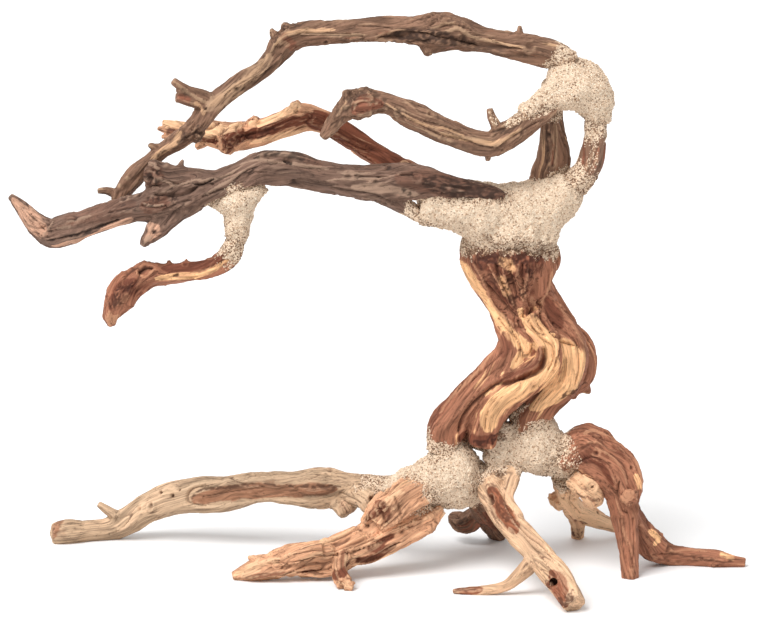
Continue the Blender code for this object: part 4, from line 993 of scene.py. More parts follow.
class DriftwoodColours(bpy.types.PropertyGroup):
    """Colours of the bark, wood and sand."""
    # Each wood's worn colour also paints highlights on crests, ridges and edges, and its crack colour also
    # paints shade in cracks, grooves, holes and hollows
    dark_bark_bark: tint("Dark bark", 116, 86, 68)
    dark_bark_light: tint("Worn and highlit dark bark", 174, 142, 114)
    dark_bark_heart: tint("Red under the dark bark", 124, 76, 57)
    dark_bark_bare: tint("Bare wood in the dark bark", 178, 140, 108)
    dark_bark_crack: tint("Cracks in the dark bark", 44, 28, 21)
    grey_bark_bark: tint("Grey bark", 106, 81, 68)
    grey_bark_light: tint("Worn and highlit grey bark", 158, 130, 110)
    grey_bark_heart: tint("Brown in the grey bark", 98, 66, 52)
    grey_bark_bare: tint("Bare wood in the grey bark", 188, 145, 120)
    grey_bark_crack: tint("Cracks in the grey bark", 40, 27, 21)
    red_wood_bark: tint("Red wood", 142, 93, 70)
    red_wood_light: tint("Worn and highlit red wood", 188, 138, 106)
    red_wood_heart: tint("Heart of the red wood", 104, 58, 41)
    red_wood_bare: tint("Bare wood in the red wood", 220, 170, 124)
    red_wood_crack: tint("Cracks in the red wood", 56, 27, 18)
    orange_wood_bark: tint("Orange wood", 188, 140, 108)
    orange_wood_light: tint("Worn and highlit orange wood", 222, 182, 144)
    orange_wood_heart: tint("Heart of the orange wood", 102, 55, 36)
    orange_wood_bare: tint("Bare wood in the orange wood", 212, 168, 130)
    orange_wood_crack: tint("Cracks in the orange wood", 66, 32, 20)
    pale_wood_bark: tint("Pale wood", 188, 153, 123)
    pale_wood_light: tint("Worn and highlit pale wood", 216, 184, 151)
    pale_wood_heart: tint("Heart of the pale wood", 132, 80, 56)
    pale_wood_bare: tint("Bare wood in the pale wood", 201, 164, 130)
    pale_wood_crack: tint("Cracks in the pale wood", 80, 46, 32)
    tan_wood_bark: tint("Tan wood", 172, 144, 117)
    tan_wood_light: tint("Worn and highlit tan wood", 204, 174, 144)
    tan_wood_heart: tint("Heart of the tan wood", 136, 96, 72)
    tan_wood_bare: tint("Bare wood in the tan wood", 182, 151, 123)
    tan_wood_crack: tint("Cracks in the tan wood", 78, 52, 38)
    sand_cream: tint("Cream sand", 232, 209, 183)
    sand_white: tint("White sand", 244, 227, 204)
    sand_tan: tint("Tan sand", 188, 156, 128)
    sand_brown: tint("Brown sand", 112, 84, 65)


class DriftwoodStudio(bpy.types.PropertyGroup):
    """The camera and the light."""
    lens: FloatProperty(
        name="Lens", description="Focal length of the camera", default=170.0,
        min=20.0, max=400.0, unit="CAMERA")
    distance: FloatProperty(
        name="Distance", description="From the camera to the tree", default=VIEW_DISTANCE * MM,
        min=0.5, max=6.0, unit="LENGTH")
    height_angle: FloatProperty(
        name="Height angle", description="How far the camera looks down", default=math.radians(VIEW_TILT),
        min=0.0, max=1.5, subtype="ANGLE")
    key_strength: FloatProperty(
        name="Key light", description="Strength of the light from above, in front and on the left",
        default=3.3, min=0.0, max=50.0)
    key_size: FloatProperty(
        name="Key size", description="How wide the key light looks, which softens its shadows",
        default=math.radians(34), min=0.0, max=math.pi, subtype="ANGLE")
    surround: FloatProperty(
        name="Surround", description="Brightness of the white surround", default=0.8,
        min=0.0, max=5.0, subtype="FACTOR")


# Layers of a surface: its height in millimetres, and shares that its material reads. The light share holds
# worn streaks and painted highlights, the dark share dark wood and painted shade.
LAYERS = ("relief", "bare", "heart", "light", "dark", "rough", "sand")


# Noise

def noise(places, seed):
    """Smooth noise from about -1 to 1, with one cell to a unit of the places."""
    draw = np.random.default_rng(seed)
    order = np.tile(draw.permutation(256), 2)
    slopes = draw.normal(size=(256, 3))
    slopes /= np.linalg.norm(slopes, axis=1)[:, None]
    cell = np.floor(places).astype(np.int64)
    part = places - cell
    fade = part ** 3 * (part * (part * 6 - 15) + 10)
    cell &= 255
    total = np.zeros(len(places))
    for x in (0, 1):
        for y in (0, 1):
            for z in (0, 1):
                corner = order[cell[:, 0] + x]
                corner = order[(corner + cell[:, 1] + y) & 255]
                corner = order[(corner + cell[:, 2] + z) & 255]
                toward = part - (x, y, z)
                share = np.where((x, y, z), fade, 1 - fade).prod(1)
                total += share * (slopes[corner] * toward).sum(1)
    return total * 1.7


def fractal(places, seed, octaves=3):
    total = sum(noise(places * 2 ** level, seed + level) / 2 ** level for level in range(octaves))
    return total / 1.5


def smooth(low, high, values):
    """0 below low, 1 above high, and a soft step between them."""
    part = np.clip((values - low) / (high - low), 0, 1)
    return part * part * (3 - 2 * part)


# Limbs

def rows_along(route, step):
    """Rows x, y, z and radius, in millimetres, along a smooth curve through a route's points."""
    rows = np.array(route, float)
    rows = np.vstack([2 * rows[0] - rows[1], rows, 2 * rows[-1] - rows[-2]])
    made = []
    for before, start, end, after in zip(rows, rows[1:], rows[2:], rows[3:]):
        count = max(1, round(float(np.linalg.norm((end - start)[:3])) / step))
        t = np.arange(count)[:, None] / count
        made.append(0.5 * (
            2 * start + (end - before) * t
            + (2 * before - 5 * start + 4 * end - after) * t ** 2
            + (3 * start - before - 3 * end + after) * t ** 3))
    made.append(rows[-2:-1])
    return np.vstack(made)


class Guide:
    """The middle line of a limb, and the directions across it. They set where the grain runs."""

    def __init__(self, route, others):
        rows = rows_along(route, GUIDE_STEP)
        self.places = rows[:, :3]
        self.radii = np.maximum(rows[:, 3], 1.0)
        self.tangents = np.gradient(self.places, axis=0)
        self.tangents /= np.linalg.norm(self.tangents, axis=1)[:, None]
        lengths = np.linalg.norm(np.diff(self.places, axis=0), axis=1)
        self.along = np.concatenate([[0.0], np.cumsum(lengths)])
        side = np.array([0.2, 1.0, 0.1])
        if others:
            parent, index = min(
                ((other, other.nearest(self.places[:1])[0]) for other in others),
                key=lambda found: np.linalg.norm(found[0].places[found[1]] - self.places[0]))
            heading = 1.0 if parent.tangents[index] @ self.tangents[0] > 0 else -1.0
            self.along = parent.along[index] + heading * self.along
            side = parent.sides[index]
        sides = []
        for tangent in self.tangents:
            side = side - tangent * (side @ tangent)
            side = side / np.linalg.norm(side)
            sides.append(side)
        self.sides = np.array(sides)

    def nearest(self, points):
        gaps = (self.places ** 2).sum(1) - 2 * points @ self.places.T
        return gaps.argmin(1)

    def measure(self, points):
        """Along and across the limb, the distance from its middle and its radius, for each point."""
        index = np.concatenate([self.nearest(part) for part in np.array_split(points, 8)])
        tangent = self.tangents[index]
        offset = points - self.places[index]
        slide = np.clip((offset * tangent).sum(1), -GUIDE_STEP, GUIDE_STEP)
        offset = offset - tangent * slide[:, None]
        heading = np.sign(self.along[-1] - self.along[0])
        side = (offset * self.sides[index]).sum(1)
        up = (offset * np.cross(tangent, self.sides[index])).sum(1)
        grain = np.column_stack([self.along[index] + heading * slide, side, up])
        return grain, np.linalg.norm(offset, axis=1), self.radii[index]


def guides_of(limbs):
    made = []
    for route in limbs:
        made.append(Guide(route, made))
    return made


def follow_grain(guides, points, twist):
    """Grain coordinates of points, blended where limbs meet, and the radius there."""
    measured = [guide.measure(points) for guide in guides]
    depths = np.array([gap / radius for _, gap, radius in measured])
    shares = np.exp(-14 * (depths - depths.min(0)))
    shares /= shares.sum(0)
    grain = sum(share[:, None] * rows[0] for share, rows in zip(shares, measured))
    radius = sum(share * rows[2] for share, rows in zip(shares, measured))
    turn = np.radians(twist) * grain[:, 0]
    side, up = grain[:, 1].copy(), grain[:, 2].copy()
    grain[:, 1] = side * np.cos(turn) - up * np.sin(turn)
    grain[:, 2] = side * np.sin(turn) + up * np.cos(turn)
    return grain, radius


def depth_under(guides, points):
    """How far each point lies outside the limbs' surface, in millimetres; negative inside."""
    return np.min([gap - radius for _, gap, radius in (guide.measure(points) for guide in guides)], axis=0)


WOOD_GUIDES = {name: guides_of(spec["limbs"]) for name, spec in WOODS.items()}
JOINT_GUIDES = {name: guides_of(limbs) for name, limbs in JOINTS.items()}


# Meshes

def select_only(*things):
    bpy.ops.object.select_all(action="DESELECT")
    for thing in things:
        thing.select_set(True)
    bpy.context.view_layer.objects.active = things[0]


def section(ridges, depth):
    """A closed ridged outline of unit radius, which a limb is swept from."""
    curve = bpy.data.curves.new("section", "CURVE")
    curve.dimensions = "2D"
    spline = curve.splines.new("POLY")
    spline.points.add(SECTION_POINTS - 1)
    for index, point in enumerate(spline.points):
        angle = math.tau * index / SECTION_POINTS
        radius = 1.0 + depth * math.cos(ridges * angle) + 0.5 * depth * math.cos(2 * angle + 1.0)
        point.co = (radius * math.cos(angle), radius * math.sin(angle), 0.0, 1.0)
    spline.use_cyclic_u = True
    made = bpy.data.objects.new("section", curve)
    bpy.context.scene.collection.objects.link(made)
    return made


def swept_limb(route, profile, twist, seed):
    """A limb: the section swept along a smooth route, swollen here and there."""
    rows = rows_along(route, SWEEP_STEP)
    curve = bpy.data.curves.new("limb", "CURVE")
    curve.dimensions = "3D"
    curve.bevel_mode = "OBJECT"
    curve.bevel_object = profile
    curve.use_fill_caps = True
    spline = curve.splines.new("POLY")
    spline.points.add(len(rows) - 1)
    for index, (point, row) in enumerate(zip(spline.points, rows)):
        lump = soft_noise.noise(Vector(row[:3]) / LUMP_SIZE + Vector((seed, 0, 0)))
        point.co = (*(row[:3] * MM), 1.0)
        point.radius = row[3] * MM * (1.0 + LUMP_DEPTH * lump)
        point.tilt = math.radians(twist) * index * SWEEP_STEP
    made = bpy.data.objects.new("limb", curve)
    bpy.context.scene.collection.objects.link(made)
    select_only(made)
    bpy.ops.object.convert(target="MESH")
    return bpy.context.object


def fused(name, limbs, cell, ridges=3, depth=0.0, twist=0.0):
    """All the limbs as one closed body."""
    profile = section(ridges, depth)
    swept = [swept_limb(route, profile, twist, seed) for seed, route in enumerate(limbs)]
    select_only(*swept)
    if len(swept) > 1:
        bpy.ops.object.join()
    made = bpy.context.object
    made.name = name
    bpy.data.objects.remove(profile, do_unlink=True)
    bpy.ops.object.mode_set(mode="EDIT")
    bpy.ops.mesh.select_all(action="SELECT")
    bpy.ops.mesh.remove_doubles(threshold=0.01 * MM)
    bpy.ops.object.mode_set(mode="OBJECT")
    remesh(made, cell)
    return made


def remesh(made, cell):
    change = made.modifiers.new("Fuse", "REMESH")
    change.mode = "VOXEL"
    change.voxel_size = cell
    select_only(made)
    bpy.ops.object.modifier_apply(modifier=change.name)


def hollow_out(made, routes, cell):
    """Cut the space of each route out of a piece of wood."""
    for route in routes:
        cutter = fused("hollow", [route], cell)
        change = made.modifiers.new("Hollow", "BOOLEAN")
        change.operation = "DIFFERENCE"
        change.solver = "MANIFOLD"
        change.object = cutter
        select_only(made)
        bpy.ops.object.modifier_apply(modifier=change.name)
        bpy.data.objects.remove(cutter, do_unlink=True)
    remesh(made, cell)


def read_mesh(made):
    """A mesh's points in millimetres, its normals and the two ends of each edge."""
    mesh = made.data
    points = np.empty(len(mesh.vertices) * 3, np.float32)
    mesh.vertices.foreach_get("co", points)
    normals = np.empty(len(mesh.vertices) * 3, np.float32)
    mesh.vertex_normals.foreach_get("vector", normals)
    edges = np.empty(len(mesh.edges) * 2, np.int32)
    mesh.edges.foreach_get("vertices", edges)
    points = points.reshape(-1, 3).astype(float) / MM
    return points, normals.reshape(-1, 3).astype(float), edges.reshape(-1, 2)


def write_points(made, points):
    made.data.vertices.foreach_set("co", (points * MM).astype(np.float32).ravel())
    made.data.update()


def write_layer(made, name, kind, values):
    key = {"FLOAT": "value", "FLOAT_VECTOR": "vector", "FLOAT_COLOR": "color"}[kind]
    layer = made.data.attributes.new(name, kind, "POINT")
    layer.data.foreach_set(key, values.astype(np.float32).ravel())


def spread(values, edges, count, rounds):
    """Values averaged with those of the neighbouring points."""
    shares = np.bincount(edges.ravel(), minlength=count) + 1.0
    for _ in range(rounds):
        total = values.copy()
        total += np.bincount(edges[:, 0], values[edges[:, 1]], count)
        total += np.bincount(edges[:, 1], values[edges[:, 0]], count)
        values = total / shares
    return values


def crest(points, normals, edges):
    """How far each point stands out from its neighbours: crests above 0, furrows below."""
    count = len(points)
    around = np.column_stack([spread(points[:, axis], edges, count, 2) for axis in range(3)])
    height = ((points - around) * normals).sum(1)
    return spread(height, edges, count, 1)


def gap_to_line(points, normals, line):
    """Distance along the surface from each point to a line on it, and the place along the line, 0 to 1."""
    best = np.full(len(points), np.inf)
    along = np.full(len(points), 0.5)
    ends = line[1:] if len(line) > 1 else line
    for index, (start, end) in enumerate(zip(line, ends)):
        way = end - start
        part = np.clip((points - start) @ way / max(way @ way, 1e-9), 0, 1)
        offset = points - start - part[:, None] * way
        depth = np.abs((offset * normals).sum(1))
        beside = np.maximum((offset ** 2).sum(1) - depth ** 2, 0)
        gap = np.sqrt(beside + np.maximum(depth - MARK_DEPTH, 0) ** 2)
        along = np.where(gap < best, (index + part) / len(ends), along)
        best = np.minimum(best, gap)
    return best, along


def seen_way():
    """The direction that the camera looks in."""
    tilt = math.radians(VIEW_TILT)
    return np.array((0, math.cos(tilt), -math.sin(tilt)))


def seen(points):
    """Where the camera sees points, in steps right of and above its aim, and how far away they are."""
    ahead = seen_way()
    up = np.array((0, -ahead[2], ahead[1]))
    offset = points - VIEW_AIM + VIEW_DISTANCE * ahead
    away = offset @ ahead
    steps = np.column_stack([offset[:, 0], offset @ up]) * (VIEW_DISTANCE / away / MARK_STEP)[:, None]
    return steps, away


# Wood

def lay_on(spots, points, steps, away):
    """The smooth line on the wood that the camera sees through a mark's points."""
    line = []
    for spot in spots:
        gaps = np.hypot(*(steps - spot).T)
        near = np.flatnonzero(gaps < max(3.0, gaps.min() + 1.0))
        line.append(points[near[away[near].argmin()]])
    if len(line) < 3:
        return np.array(line)
    return rows_along([(*row, 0.0) for row in line], 2.0)[:, :3]


def paint_marks(name, points, normals, grain, layers):
    """Add a piece's marks to its layers. Their edges waver along the grain."""
    waver = noise(grain / WAVES["waver"], 71) * 0.35 + noise(points / 1.7, 72) * 0.15
    broken = smooth(-0.75, 0.35, noise(grain / WAVES["breaks"], 73) + 0.5 * noise(points / 2.6, 74))
    steps, away = seen(points)
    ahead = seen_way()
    front = normals @ ahead < FACING
    for kind, width, amount, route in MARKS.get(name, []):
        spots = [[float(value) for value in spot.split(",")] for spot in route.split()]
        line = lay_on(spots, points[front], steps[front], away[front])
        reach = 1.8 * width + MARK_DEPTH
        inside = (points > line.min(0) - reach).all(1) & (points < line.max(0) + reach).all(1)
        near = np.flatnonzero(front & inside)
        part, along = gap_to_line(points[near], normals[near], line)
        part /= width
        if len(line) > 2:
            part /= END_WIDTH + (1 - END_WIDTH) * np.sqrt(np.sin(math.pi * np.clip(along, 0, 1)))
        wavy = part + waver[near] * min(1.0, 3.0 / width)
        paint = 1 - smooth(0.65, 1.2, wavy)
        bump = np.clip(1 - part ** 2, 0, 1) ** 2
        if kind in ("bare", "heart", "bark"):
            for layer in ("bare", "heart"):
                goal = 1.0 if layer == kind else 0.0
                layers[layer][near] += paint * amount * (goal - layers[layer][near])
            if kind == "bark":
                layers["light"][near] *= 1 - paint * amount
        # light marks are pale streaks, some of which are painted highlights; dark marks are dark wood, and
        # painted shade where they lie over a hole or hollow
        elif kind in ("light", "dark", "rough", "sand"):
            if kind == "dark":
                paint = paint * broken[near]
            layers[kind][near] = np.maximum(layers[kind][near], paint * amount)
        elif kind == "ridge":
            layers["relief"][near] += bump * amount
            # painted highlight along the ridge's crest
            layers["light"][near] += 0.35 * bump
        elif kind == "swell":
            layers["relief"][near] += bump * amount
        elif kind == "groove":
            layers["relief"][near] -= bump * amount
            # painted shade in the groove's core
            layers["dark"][near] = np.maximum(layers["dark"][near], 0.6 * smooth(0.3, 1.0, bump))
        elif kind == "hole":
            pit = 1 - smooth(0.55, 1.05, part)
            layers["relief"][near] -= pit * amount
            # painted shade in the pit
            layers["dark"][near] = np.maximum(layers["dark"][near], 1 - smooth(0.5, 0.95, part))
        elif kind == "knot":
            ring = np.exp(-((part - 0.85) / 0.3) ** 2)
            layers["relief"][near] += ring * amount - 0.6 * amount * np.exp(-(part / 0.4) ** 2)
            layers["dark"][near] = np.maximum(
                layers["dark"][near], 0.5 * np.exp(-((part - 0.5) / 0.12) ** 2))
        else:
            raise ValueError(f"no mark of kind {kind}")


def scatter_knots(points, layers, count, seed):
    """Small knots and pits, the same at each run, with painted shade in the pits and a painted highlight on
    the rims.
    """
    draw = np.random.default_rng(seed)
    for index in draw.choice(len(points), count, replace=False):
        width = draw.uniform(*KNOT_WIDTHS)
        part = np.linalg.norm(points - points[index], axis=1) / width
        near = part < 2
        ring = np.exp(-((part[near] - 0.9) / 0.4) ** 2)
        pit = np.exp(-(part[near] / 0.5) ** 2)
        layers["relief"][near] += KNOT_HEIGHT * ring - draw.uniform(*PIT_DEPTHS) * pit
        # painted shade in the pit and a painted highlight on its raised rim
        layers["dark"][near] = np.maximum(layers["dark"][near], pit * draw.uniform(0.5, 1.0))
        layers["light"][near] += 0.12 * ring


def make_wood(name, sizes):
    """One piece of wood: swept, fused, hollowed, carved along its grain and given its layers."""
    spec, look = WOODS[name], LOOKS[name]
    seed = 100 * (1 + list(WOODS).index(name))
    made = fused(
        name + "_wood", spec["limbs"], sizes.wood_cell, spec["ridges"], spec["depth"], spec["twist"])
    if name in HOLLOWS:
        hollow_out(made, HOLLOWS[name], sizes.wood_cell)
    points, normals, edges = read_mesh(made)
    count = len(points)
    grain, radius = follow_grain(WOOD_GUIDES[name], points, spec["twist"])
    grain[:, 1:] += noise(points / 14, seed)[:, None] * (1.6, -1.2)
    slim = np.clip(radius / FULL_RADIUS, 0.25, 1.0)

    flutes = noise(grain / WAVES["flutes"], seed + 1)
    furrows = fractal(grain / WAVES["furrows"], seed + 3)
    line = noise(grain / WAVES["cracks"], seed + 6)
    where = smooth(-0.1, 0.35, noise(grain / WAVES["cracked"], seed + 7))
    crack = np.exp(-(line / CRACK_WIDTH) ** 2) * where
    line = noise(grain / WAVES["slits"], seed + 8)
    where = smooth(0.0, 0.4, noise(grain / WAVES["slitted"], seed + 9))
    slit = np.exp(-(line / SLIT_WIDTH) ** 2) * where
    fibres = noise(grain / WAVES["fibres"], seed + 10)
    lumps = fractal(points / LUMP_WAVE, seed + 11)
    gnarls = fractal(grain / WAVES["gnarls"], seed + 12, 2)
    bands = noise(grain / WAVES["bands"], seed + 14)
    streaks = noise(grain / WAVES["streaks"], seed + 15)
    threads = noise(grain / WAVES["threads"], seed + 16)
    specks = noise(points / SPECK_WAVE, seed + 17)

    layers = {
        "relief": look["flutes"] * flutes + look["furrows"] * furrows - look["cracks"] * crack
        - SLIT_DEPTH * look["cracks"] * slit + look["fibres"] * fibres + look["rough"] * lumps
        + look["gnarl"] * gnarls,
        "bare": smooth(0.0, 0.5, 0.6 * bands + 0.5 * streaks + 0.3 * threads + 1.3 * look["bare"] - 0.65),
        "heart": smooth(0.0, 0.5, 0.5 * threads - 0.6 * bands + 0.4 * streaks + 1.3 * look["heart"] - 0.65),
        "light": smooth(0.1, 0.7, 0.6 * streaks + 0.5 * threads + look["light"] - 0.2) * look["light"],
        # painted shade in the carved cracks and slits
        "dark": np.maximum(0.7 * smooth(0.45, 1.0, crack), 0.4 * smooth(0.5, 1.0, slit)),
        "rough": np.zeros(count),
        "sand": np.zeros(count),
    }
    scatter_knots(points, layers, look["knots"], seed + 20)
    paint_marks(name, points, normals, grain, layers)
    rough = spread(layers["rough"], edges, count, 2)
    layers["relief"] += rough * (1.0 * fractal(points / 3.0, seed + 21) + 0.7 * specks)
    # painted shade where the rough relief dips
    layers["dark"] = np.maximum(layers["dark"], 0.8 * rough * smooth(0.0, 0.5, -specks - lumps))

    relief = sizes.relief * layers["relief"] * slim
    relief = np.clip(relief, -DEEPEST * radius, HIGHEST * radius)
    moved = points + normals * relief[:, None]
    moved[:, 2] = np.maximum(moved[:, 2], 0.0)
    write_points(made, moved)
    points, normals, edges = read_mesh(made)

    # Painted highlight on the crests and painted shade in the furrows, from how far each point stands out
    height = crest(points, normals, edges)
    layers["light"] += 0.35 * smooth(0.03, 0.14, height)
    layers["dark"] = np.maximum(layers["dark"], 0.4 * smooth(0.04, 0.2, -height))
    beside = np.min([depth_under(guides, points) for guides in JOINT_GUIDES.values()], axis=0)
    reach = look["spill"] * sizes.spill / MM
    ragged = beside + 0.5 * reach * noise(points / LUMP_WAVE, seed + 22)
    layers["sand"] = np.maximum(layers["sand"], 0.9 * (1 - smooth(0.0, reach, ragged)))
    write_layer(made, "grain", "FLOAT_VECTOR", grain * MM)
    write_layer(made, "layers", "FLOAT_COLOR", np.clip(np.column_stack(
        [layers["bare"], layers["heart"], layers["light"], layers["dark"]]), 0, 1))
    write_layer(made, "dust", "FLOAT", np.clip(layers["sand"], 0, 1))
    made.data.materials.clear()
    made.data.materials.append(wood_material(spec["material"]))
    finish_piece(made, name)


def finish_piece(made, node):
    """Smooth shading, what a piece rides on, and hiding the part that it stands for."""
    select_only(made)
    bpy.ops.object.shade_smooth()
    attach(made, "root")
    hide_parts(node)


# Glued joints

def grain_mesh(centres, normals, sizes, tones, draw):
    """Angular grains of sand, of eight faces, on a surface: points, faces and each point's tone."""
    count = len(centres)
    corners = np.array([(1, 0, 0), (-1, 0, 0), (0, 1, 0), (0, -1, 0), (0, 0, 1), (0, 0, -1)], float)
    faces = np.array([
        (0, 2, 4), (2, 1, 4), (1, 3, 4), (3, 0, 4), (2, 0, 5), (1, 2, 5), (3, 1, 5), (0, 3, 5)])
    along = np.cross(normals, draw.normal(size=(count, 3)))
    along += 0.4 * normals * draw.normal(size=(count, 1))
    along /= np.linalg.norm(along, axis=1)[:, None]
    across = np.cross(normals, along)
    across /= np.linalg.norm(across, axis=1)[:, None]
    up = np.cross(along, across)
    spans = sizes[:, None] * draw.uniform(GRAIN_LEAST, GRAIN_MOST, (count, 3))
    shape = corners[None] * spans[:, None]
    shape = shape + draw.normal(size=shape.shape) * 0.08 * sizes[:, None, None]
    points = (centres[:, None] + shape[:, :, :1] * along[:, None] + shape[:, :, 1:2] * across[:, None]
              + shape[:, :, 2:] * up[:, None])
    rows = faces[None] + 6 * np.arange(count)[:, None, None]
    return points.reshape(-1, 3), rows.reshape(-1, 3), np.repeat(tones, 6)


def make_joint(name, sizes):
    """One glued joint: a lumpy mass with grains of sand on it and on the wood beside it."""
    number = list(JOINTS).index(name)
    seed = 5000 + 100 * number
    draw = np.random.default_rng(seed)
    made = fused(name + "_sand", JOINTS[name], sizes.sand_cell)
    points, normals, edges = read_mesh(made)
    rounds = round(SAND_FILLET * (MM / sizes.sand_cell) ** 2)
    soft = np.column_stack([spread(points[:, axis], edges, len(points), rounds) for axis in range(3)])
    write_points(made, soft + SAND_COAT * normals)
    points, normals, edges = read_mesh(made)
    lumps = np.array([
        soft_noise.fractal(Vector(p) / SAND_LUMP_SIZE + Vector((number, number, 0)), 1.0, 2.0, 2)
        for p in points])
    near = [g for other, g in WOOD_GUIDES.items() if boxes_meet(JOINT_GUIDES[name], g)]
    beside = np.min([depth_under(guides, points) for guides in near], axis=0)
    border = 1 - smooth(0.0, SAND_BORDER, beside)
    pebbles = fractal(points / 1.5, seed + 1, 2)
    relief = SAND_LUMP_DEPTH * lumps + 0.55 * pebbles + draw.uniform(-0.16, 0.16, len(points))
    relief += 0.7 * fractal(points / 4.2, seed + 2) + border * (0.9 * fractal(points / 3.0, seed + 3) - 0.2)
    layers = {key: np.zeros(len(points)) for key in LAYERS}
    paint_marks(name, points, normals, points, layers)
    relief += layers["relief"] + 1.2 * layers["rough"] * fractal(points / 2.6, seed + 6)
    points = points + normals * relief[:, None]
    points[:, 2] = np.maximum(points[:, 2], 0.0)
    write_points(made, points)
    points, normals, edges = read_mesh(made)
    grit = np.clip(border + 0.5 * smooth(0.2, 0.8, noise(points / 7.0, seed + 5)), 0, 1)
    grit += 2.0 * layers["dark"]
    write_layer(made, "grit", "FLOAT", grit)
    # painted shade: the sand's hollows, and where it is marked dark, are mixed towards brown
    hollow = smooth(0.05, 0.3, -crest(points, normals, edges))
    write_layer(made, "hollow", "FLOAT", np.maximum(hollow, layers["dark"]))

    open_air = np.flatnonzero(beside > -0.4)
    chosen = draw.choice(open_air, int(COATED * len(open_air)), replace=False)
    centres, ups, dark = [points[chosen]], [normals[chosen]], [grit[chosen]]
    for other in WOODS:
        wood = bpy.data.objects.get(other + "_wood")
        if wood is None or not boxes_meet(JOINT_GUIDES[name], WOOD_GUIDES[other]):
            continue
        spots, facing, _ = read_mesh(wood)
        outside = depth_under(JOINT_GUIDES[name], spots)
        reach = LOOKS[other]["spill"] * sizes.spill / MM
        outside += 0.5 * reach * noise(spots / LUMP_WAVE, 100 * (1 + list(WOODS).index(other)) + 22)
        chance = np.clip(1 - outside / reach, 0, 1) ** 1.5 * (outside > -3.0) * SPILLED
        taken = draw.uniform(size=len(spots)) < chance
        centres.append(spots[taken])
        ups.append(facing[taken])
        dark.append(np.full(taken.sum(), LOOKS[other]["soot"]))
    centres, ups, dark = np.vstack(centres), np.vstack(ups), np.concatenate(dark)
    spans = sizes.grain_size / MM * draw.uniform(0.5, 1.1, len(centres))
    spans[len(chosen):] *= SPILLED_SIZE
    tones = 0.93 * draw.uniform(size=len(centres)) ** np.maximum(1 - 0.5 * dark, 0.05) + 0.14 * dark
    tones = np.clip(tones, 0, 1)
    grains, faces, tone = grain_mesh(centres + ups * 0.05, ups, spans, tones, draw)
    grains[:, 2] = np.maximum(grains[:, 2], 0.0)
    mesh = bpy.data.meshes.new("grains")
    mesh.from_pydata((grains * MM).tolist(), [], faces.tolist())
    mesh.update()
    loose = bpy.data.objects.new("grains", mesh)
    bpy.context.scene.collection.objects.link(loose)
    write_layer(loose, "tone", "FLOAT", tone)
    loose.data.materials.append(grain_material())
    made.data.materials.clear()
    made.data.materials.append(sand_material())
    select_only(made)
    bpy.ops.object.shade_smooth()
    select_only(made, loose)
    bpy.ops.object.join()
    made = bpy.context.object
    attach(made, "root")
    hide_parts(name)


def boxes_meet(some, others):
    """Whether two sets of limbs come near each other."""
    def reach(guides):
        low = np.min([(g.places - g.radii[:, None]).min(0) for g in guides], axis=0)
        high = np.max([(g.places + g.radii[:, None]).max(0) for g in guides], axis=0)
        return low - 8, high + 8
    low, high = reach(some)
    other_low, other_high = reach(others)
    return bool((low < other_high).all() and (other_low < high).all())


# Materials

class Tree:
    """Adds nodes to a node tree, each with its inputs given as values or as other nodes' outputs."""

    def __init__(self, tree):
        self.tree = tree
        self.column = 0

    def add(self, kind, inputs=(), **settings):
        made = self.tree.nodes.new(kind)
        self.column += 1
        made.location = (180 * (self.column % 9), -260 * (self.column // 9))
        for key, value in settings.items():
            setattr(made, key, value)
        for key, value in dict(inputs).items():
            self.set(made.inputs[key], value)
        return made

    def set(self, socket, value):
        if isinstance(value, bpy.types.NodeSocket):
            self.tree.links.new(value, socket)
        else:
            socket.default_value = value

    def maths(self, operation, *values, clamp=False):
        made = self.add("ShaderNodeMath", operation=operation, use_clamp=clamp)
        for socket, value in zip(made.inputs, values):
            self.set(socket, value)
        return made.outputs[0]

    def span(self, value, low, high, to_low=0.0, to_high=1.0):
        made = self.add("ShaderNodeMapRange", {
            "Value": value, "From Min": low, "From Max": high, "To Min": to_low, "To Max": to_high},
            interpolation_type="SMOOTHSTEP")
        return made.outputs["Result"]

    def mix(self, share, first, second, blend="MIX"):
        made = self.add("ShaderNodeMix", data_type="RGBA", blend_type=blend, clamp_factor=True)
        self.set(made.inputs[0], share)
        self.set(made.inputs[6], first)
        self.set(made.inputs[7], second)
        return made.outputs[2]

    def scaled(self, vector, factors):
        made = self.add("ShaderNodeVectorMath", operation="MULTIPLY")
        self.set(made.inputs[0], vector)
        self.set(made.inputs[1], factors)
        return made.outputs[0]

    def attribute(self, name):
        return self.add("ShaderNodeAttribute", attribute_name=name, attribute_type="GEOMETRY")


def group(name, inputs, outputs):
    made = bpy.data.node_groups.new(name, "ShaderNodeTree")
    for socket, kind in inputs:
        made.interface.new_socket(name=socket, in_out="INPUT", socket_type=kind)
    for socket, kind in outputs:
        made.interface.new_socket(name=socket, in_out="OUTPUT", socket_type=kind)
    tree = Tree(made)
    return made, tree, tree.add("NodeGroupInput"), tree.add("NodeGroupOutput")


